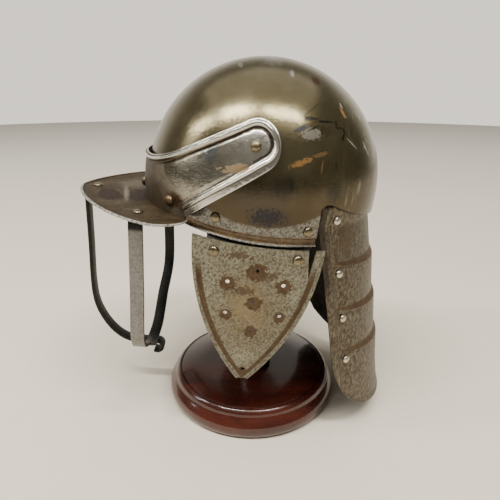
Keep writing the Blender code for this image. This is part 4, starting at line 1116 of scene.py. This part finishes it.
# Neck guard
# One sheet of steel down the nape, embossed as four lames, with a raised strip down each side.
# The step under each lame stands out in a crescent that has filled with brown rust.
TAIL_HALF = math.radians(66.0)
STEP_HALF = math.radians(60.0)
STRIP = 0.0105
TAIL_LENGTH = 0.2135
TAIL_CORNER = 0.060
TAIL_ROWS = 110
UNDER_SKULL_ROWS = 6
STEPS = (-0.053, -0.0955, -0.138)
FLARE_Z = -0.020
FLARE = 0.24


def tail_point(angle, z, out=0.0):
    share = max(0.0, 1.0 - (angle / STEP_HALF) ** 2)
    band = 0.008 * share
    bulge = 0.0
    for top in STEPS:
        if z < top and band > 0.0:
            below = min(1.0, (top - z) / band)
            fade = max(0.0, 1.0 - (top - band - z) / (0.0425 - band))
            eased = below * below * (3.0 - 2.0 * below)
            bulge = 0.0024 * share * (eased if below < 1.0 else min(1.0, fade))
    level = math.sqrt(1.0 - (max(z, FLARE_Z) / SKULL[2]) ** 2)
    inner = SHEET + 0.0006 - out - bulge
    return Vector(((SKULL[0] * level - inner) * math.sin(angle),
                   (SKULL[1] * level - inner) * math.cos(angle) + FLARE * max(0.0, FLARE_Z - z), z))


def tail_bottom(angle):
    share = min(1.0, abs(angle) / TAIL_HALF)
    return -TAIL_LENGTH + TAIL_CORNER * (1.0 - math.sqrt(max(0.0, 1.0 - share ** 3.4)))


border = STRIP / SKULL[1]
inner_strip = TAIL_HALF - border
half = [TAIL_HALF, TAIL_HALF - 0.0004 / SKULL[1]]
half += [inner_strip + step for step in (0.010, 0.004, 0.0, -0.006, -0.010)]
half += spread(inner_strip - 0.02, 0.0, 44)
angles = [-angle for angle in half] + half[-2::-1]


def tail_vertex(column, row):
    angle = angles[column]
    row = TAIL_ROWS - row
    edge = nape_edge_z(tail_point(angle, 0.0).y)
    top = edge - 0.0006
    bottom = tail_bottom(angle)
    if row <= UNDER_SKULL_ROWS:
        z = edge + 0.008 - 0.0086 * row / UNDER_SKULL_ROWS
        return tail_point(angle, z), 1000.0 * (edge - z)
    z = top + (bottom - top) * (row - UNDER_SKULL_ROWS) / (TAIL_ROWS - UNDER_SKULL_ROWS)
    near = TAIL_HALF - abs(angle)
    strip = 0.0012 * clamped((border - near) / 0.006)
    rim = 0.0010 * clamped(1.0 - (z - bottom - 0.003) / 0.002)
    scored = -0.0004 if border + 0.004 < near < border + 0.014 else 0.0
    return tail_point(angle, z, max(strip, rim) + scored), 1000.0 * (edge - z)


bm = grid_sheet(len(angles) - 1, TAIL_ROWS, tail_vertex, "below")
turned_out(bm, (0.0, 1.0, 0.0))

material, tree = new_material("tail_steel")
place = helmet_place(tree)
away = apart(place)
fine = noise(place, 0.5, 5.0, 0.7)
brushed = noise(stretched(place, (0.7, 0.7, 0.09)), 1.0, 4.0, 0.65)
mottle = noise(place, 0.28, 4.0, 0.7)
colour = mottled((0.052, 0.041, 0.027), (0.145, 0.123, 0.090), mottle, 0.36, 0.64)
colour = mixed(colour, (0.25, 0.23, 0.19), ramped(brushed, 0.52, 0.66, 0.0, 0.6))
colour = mixed(colour, (0.075, 0.054, 0.031), ramped(fine, 0.54, 0.70, 0.0, 0.55))
flare = times(most(minus(FLARE_Z * 1000.0, away["Z"]), 0.0), FLARE)
angle = reckoned("ARCTAN2", reckoned("ABSOLUTE", away["X"]), minus(away["Y"], flare))
share = minus(1.0, reckoned("POWER", reckoned("DIVIDE", angle, STEP_HALF), 2.0))
band = times(reckoned("POWER", most(share, 0.0), 0.6), 9.0)
rust = None
for top in STEPS:
    depth = plus(minus(top * 1000.0 + 1.0, away["Z"]), times(minus(brushed, 0.5), 2.4))
    crescent = times(ramped(depth, 0.0, 0.8), ramped(minus(band, depth), 0.0, 0.8))
    crescent = times(crescent, ramped(share, 0.01, 0.05))
    line = reckoned("ABSOLUTE", minus(plus(band, 2.2), depth))
    line = times(ramped(line, 0.7, 0.2, 0.0, 0.5), ramped(share, 0.1, 0.3))
    crescent = most(crescent, line)
    rust = crescent if rust is None else most(rust, crescent)
upper = stain(place, (80, 72, -34), (60, 14, 22), 1.3, 0.05, 0.8)
colour = mixed(colour, (0.095, 0.069, 0.041), times(upper, 0.75))
near = minus(TAIL_HALF, angle)
dirty = times(between(near, 0.012, 0.030, 0.066, 0.088), ramped(away["Z"], -90.0, -70.0))
dirty = times(dirty, ramped(brushed, 0.30, 0.46))
colour = mixed(colour, (0.035, 0.028, 0.022), times(dirty, 0.85))
seam = between(near, 0.094, 0.100, 0.108, 0.116)
colour = mixed(colour, (0.08, 0.065, 0.045), times(seam, 0.65))
# Painted shade: a thin dark band just under the skull's lower edge, where the skull shades the
# tail.
below = minus(mark_of(tree, "below"), times(fine, 2.0))
colour = mixed(colour, (0.02, 0.015, 0.010), ramped(below, 1.2, 0.0, 0.0, 0.9))
rust_colour = mottled((0.052, 0.029, 0.011), (0.086, 0.050, 0.020), noise(place, 0.2, 3.0))
surfaced(tree, brushed, 0.0002, Base_Color=mixed(colour, rust_colour, rust),
         Roughness=plus(ramped(fine, 0.3, 0.7, 0.36, 0.5), times(rust, 0.2)),
         Metallic=ramped(rust, 0.0, 1.0, 0.92, 0.3))
add_piece("tail", bm, material, "body", ["neck_guard"], wall=SHEET, lining=inside)

TAIL_RIVET = 0.0036
steel_rivet = rivet_finish("rivet_steel", (0.62, 0.58, 0.48), (0.30, 0.25, 0.18), 0.32)
rivet_angle = inner_strip - TAIL_RIVET * 1.9 / SKULL[1]
seats = [seat_on(tail_point, side * rivet_angle, z)
         for side in (1.0, -1.0) for z in (-0.0155, -0.0625, -0.105, -0.1475)]
add_piece("tail_rivets", rivet_heads(seats, TAIL_RIVET, 0.0027), steel_rivet, "body",
          [f"tail_rivet_{number}_{end}" for number in (1, 2, 3, 4)
                          for end in ("left", "right")])


# Stand
# Turned mahogany under a glossy varnish: a round base with a rolled shoulder, a plain post and
# a domed head that carries the skull's crown.
BASE_HEIGHT = 0.0285
BASE_SHOULDER = (0.079, 0.013)
POST_RADIUS = 0.0130
HEAD_RADIUS = 0.055


def add_turned(name, profile, steps, nodes):
    bm = bmesh.new()
    spun(bm, profile, steps)
    add_piece(name, welded(bm), material, "body", nodes, place=Matrix.Identity(4))


def eased_profile(points, steps):
    """Radii and heights along a smooth curve."""
    curve = smooth_path([Vector((out, 0.0, up)) for out, up in points], steps)
    return [(point.x, point.z) for point in curve]


material, tree = new_material("mahogany")
room = object_place(tree)
figure = noise(stretched(room, (40.0, 9.0, 40.0)), 1.0, 5.0, 0.6, 0.6)
pores = noise(stretched(room, (900.0, 70.0, 900.0)), 1.0, 3.0)
colour = mottled((0.026, 0.0055, 0.0035), (0.070, 0.0135, 0.0075), figure, 0.3, 0.7)
colour = mixed(colour, (0.012, 0.004, 0.003), ramped(pores, 0.55, 0.75, 0.0, 0.6))
surfaced(tree, pores, 0.00005, Base_Color=colour, Roughness=ramped(pores, 0.3, 0.8, 0.16, 0.30),
         Coat_Weight=0.45, Coat_Roughness=0.08)
shoulder = [(BASE_SHOULDER[0] + BASE_SHOULDER[1] * out, BASE_HEIGHT * up) for out, up in (
    (0.66, 0.0), (0.90, 0.10), (1.0, 0.27), (0.94, 0.46), (0.72, 0.62), (0.52, 0.74),
    (0.40, 0.88), (0.22, 0.965), (0.08, 0.975))]
profile = [(0.0, 0.0)] + eased_profile(shoulder, 6)
profile += [(0.0795, 0.0270), (0.0790, 0.0268), (0.0787, 0.0274), (0.0784, 0.0282),
            (0.0778, BASE_HEIGHT), (0.05, BASE_HEIGHT), (0.0, BASE_HEIGHT)]
add_turned("base_wood", profile, 128, ["stand_base"])

low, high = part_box("stand_post")
foot, top = low[2], high[2]
flared = [(0.0210, foot), (0.0210, foot + 0.004), (0.0190, foot + 0.007), (0.0155, foot + 0.011),
          (0.0136, foot + 0.015), (POST_RADIUS, foot + 0.020)]
profile = [(0.0, foot)] + eased_profile(flared, 4) + [(POST_RADIUS, top), (0.0, top)]
add_turned("post_wood", profile, 48, ["stand_post"])

low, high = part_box("stand_head")
middle = high[2] - HEAD_RADIUS
reach = math.acos((low[2] - middle) / HEAD_RADIUS)
profile = [(0.0, low[2])] + [(HEAD_RADIUS * math.sin(angle), middle + HEAD_RADIUS * math.cos(angle))
                             for angle in spread(reach, 0.0, 20)]
add_turned("head_wood", profile, 64, ["stand_head"])
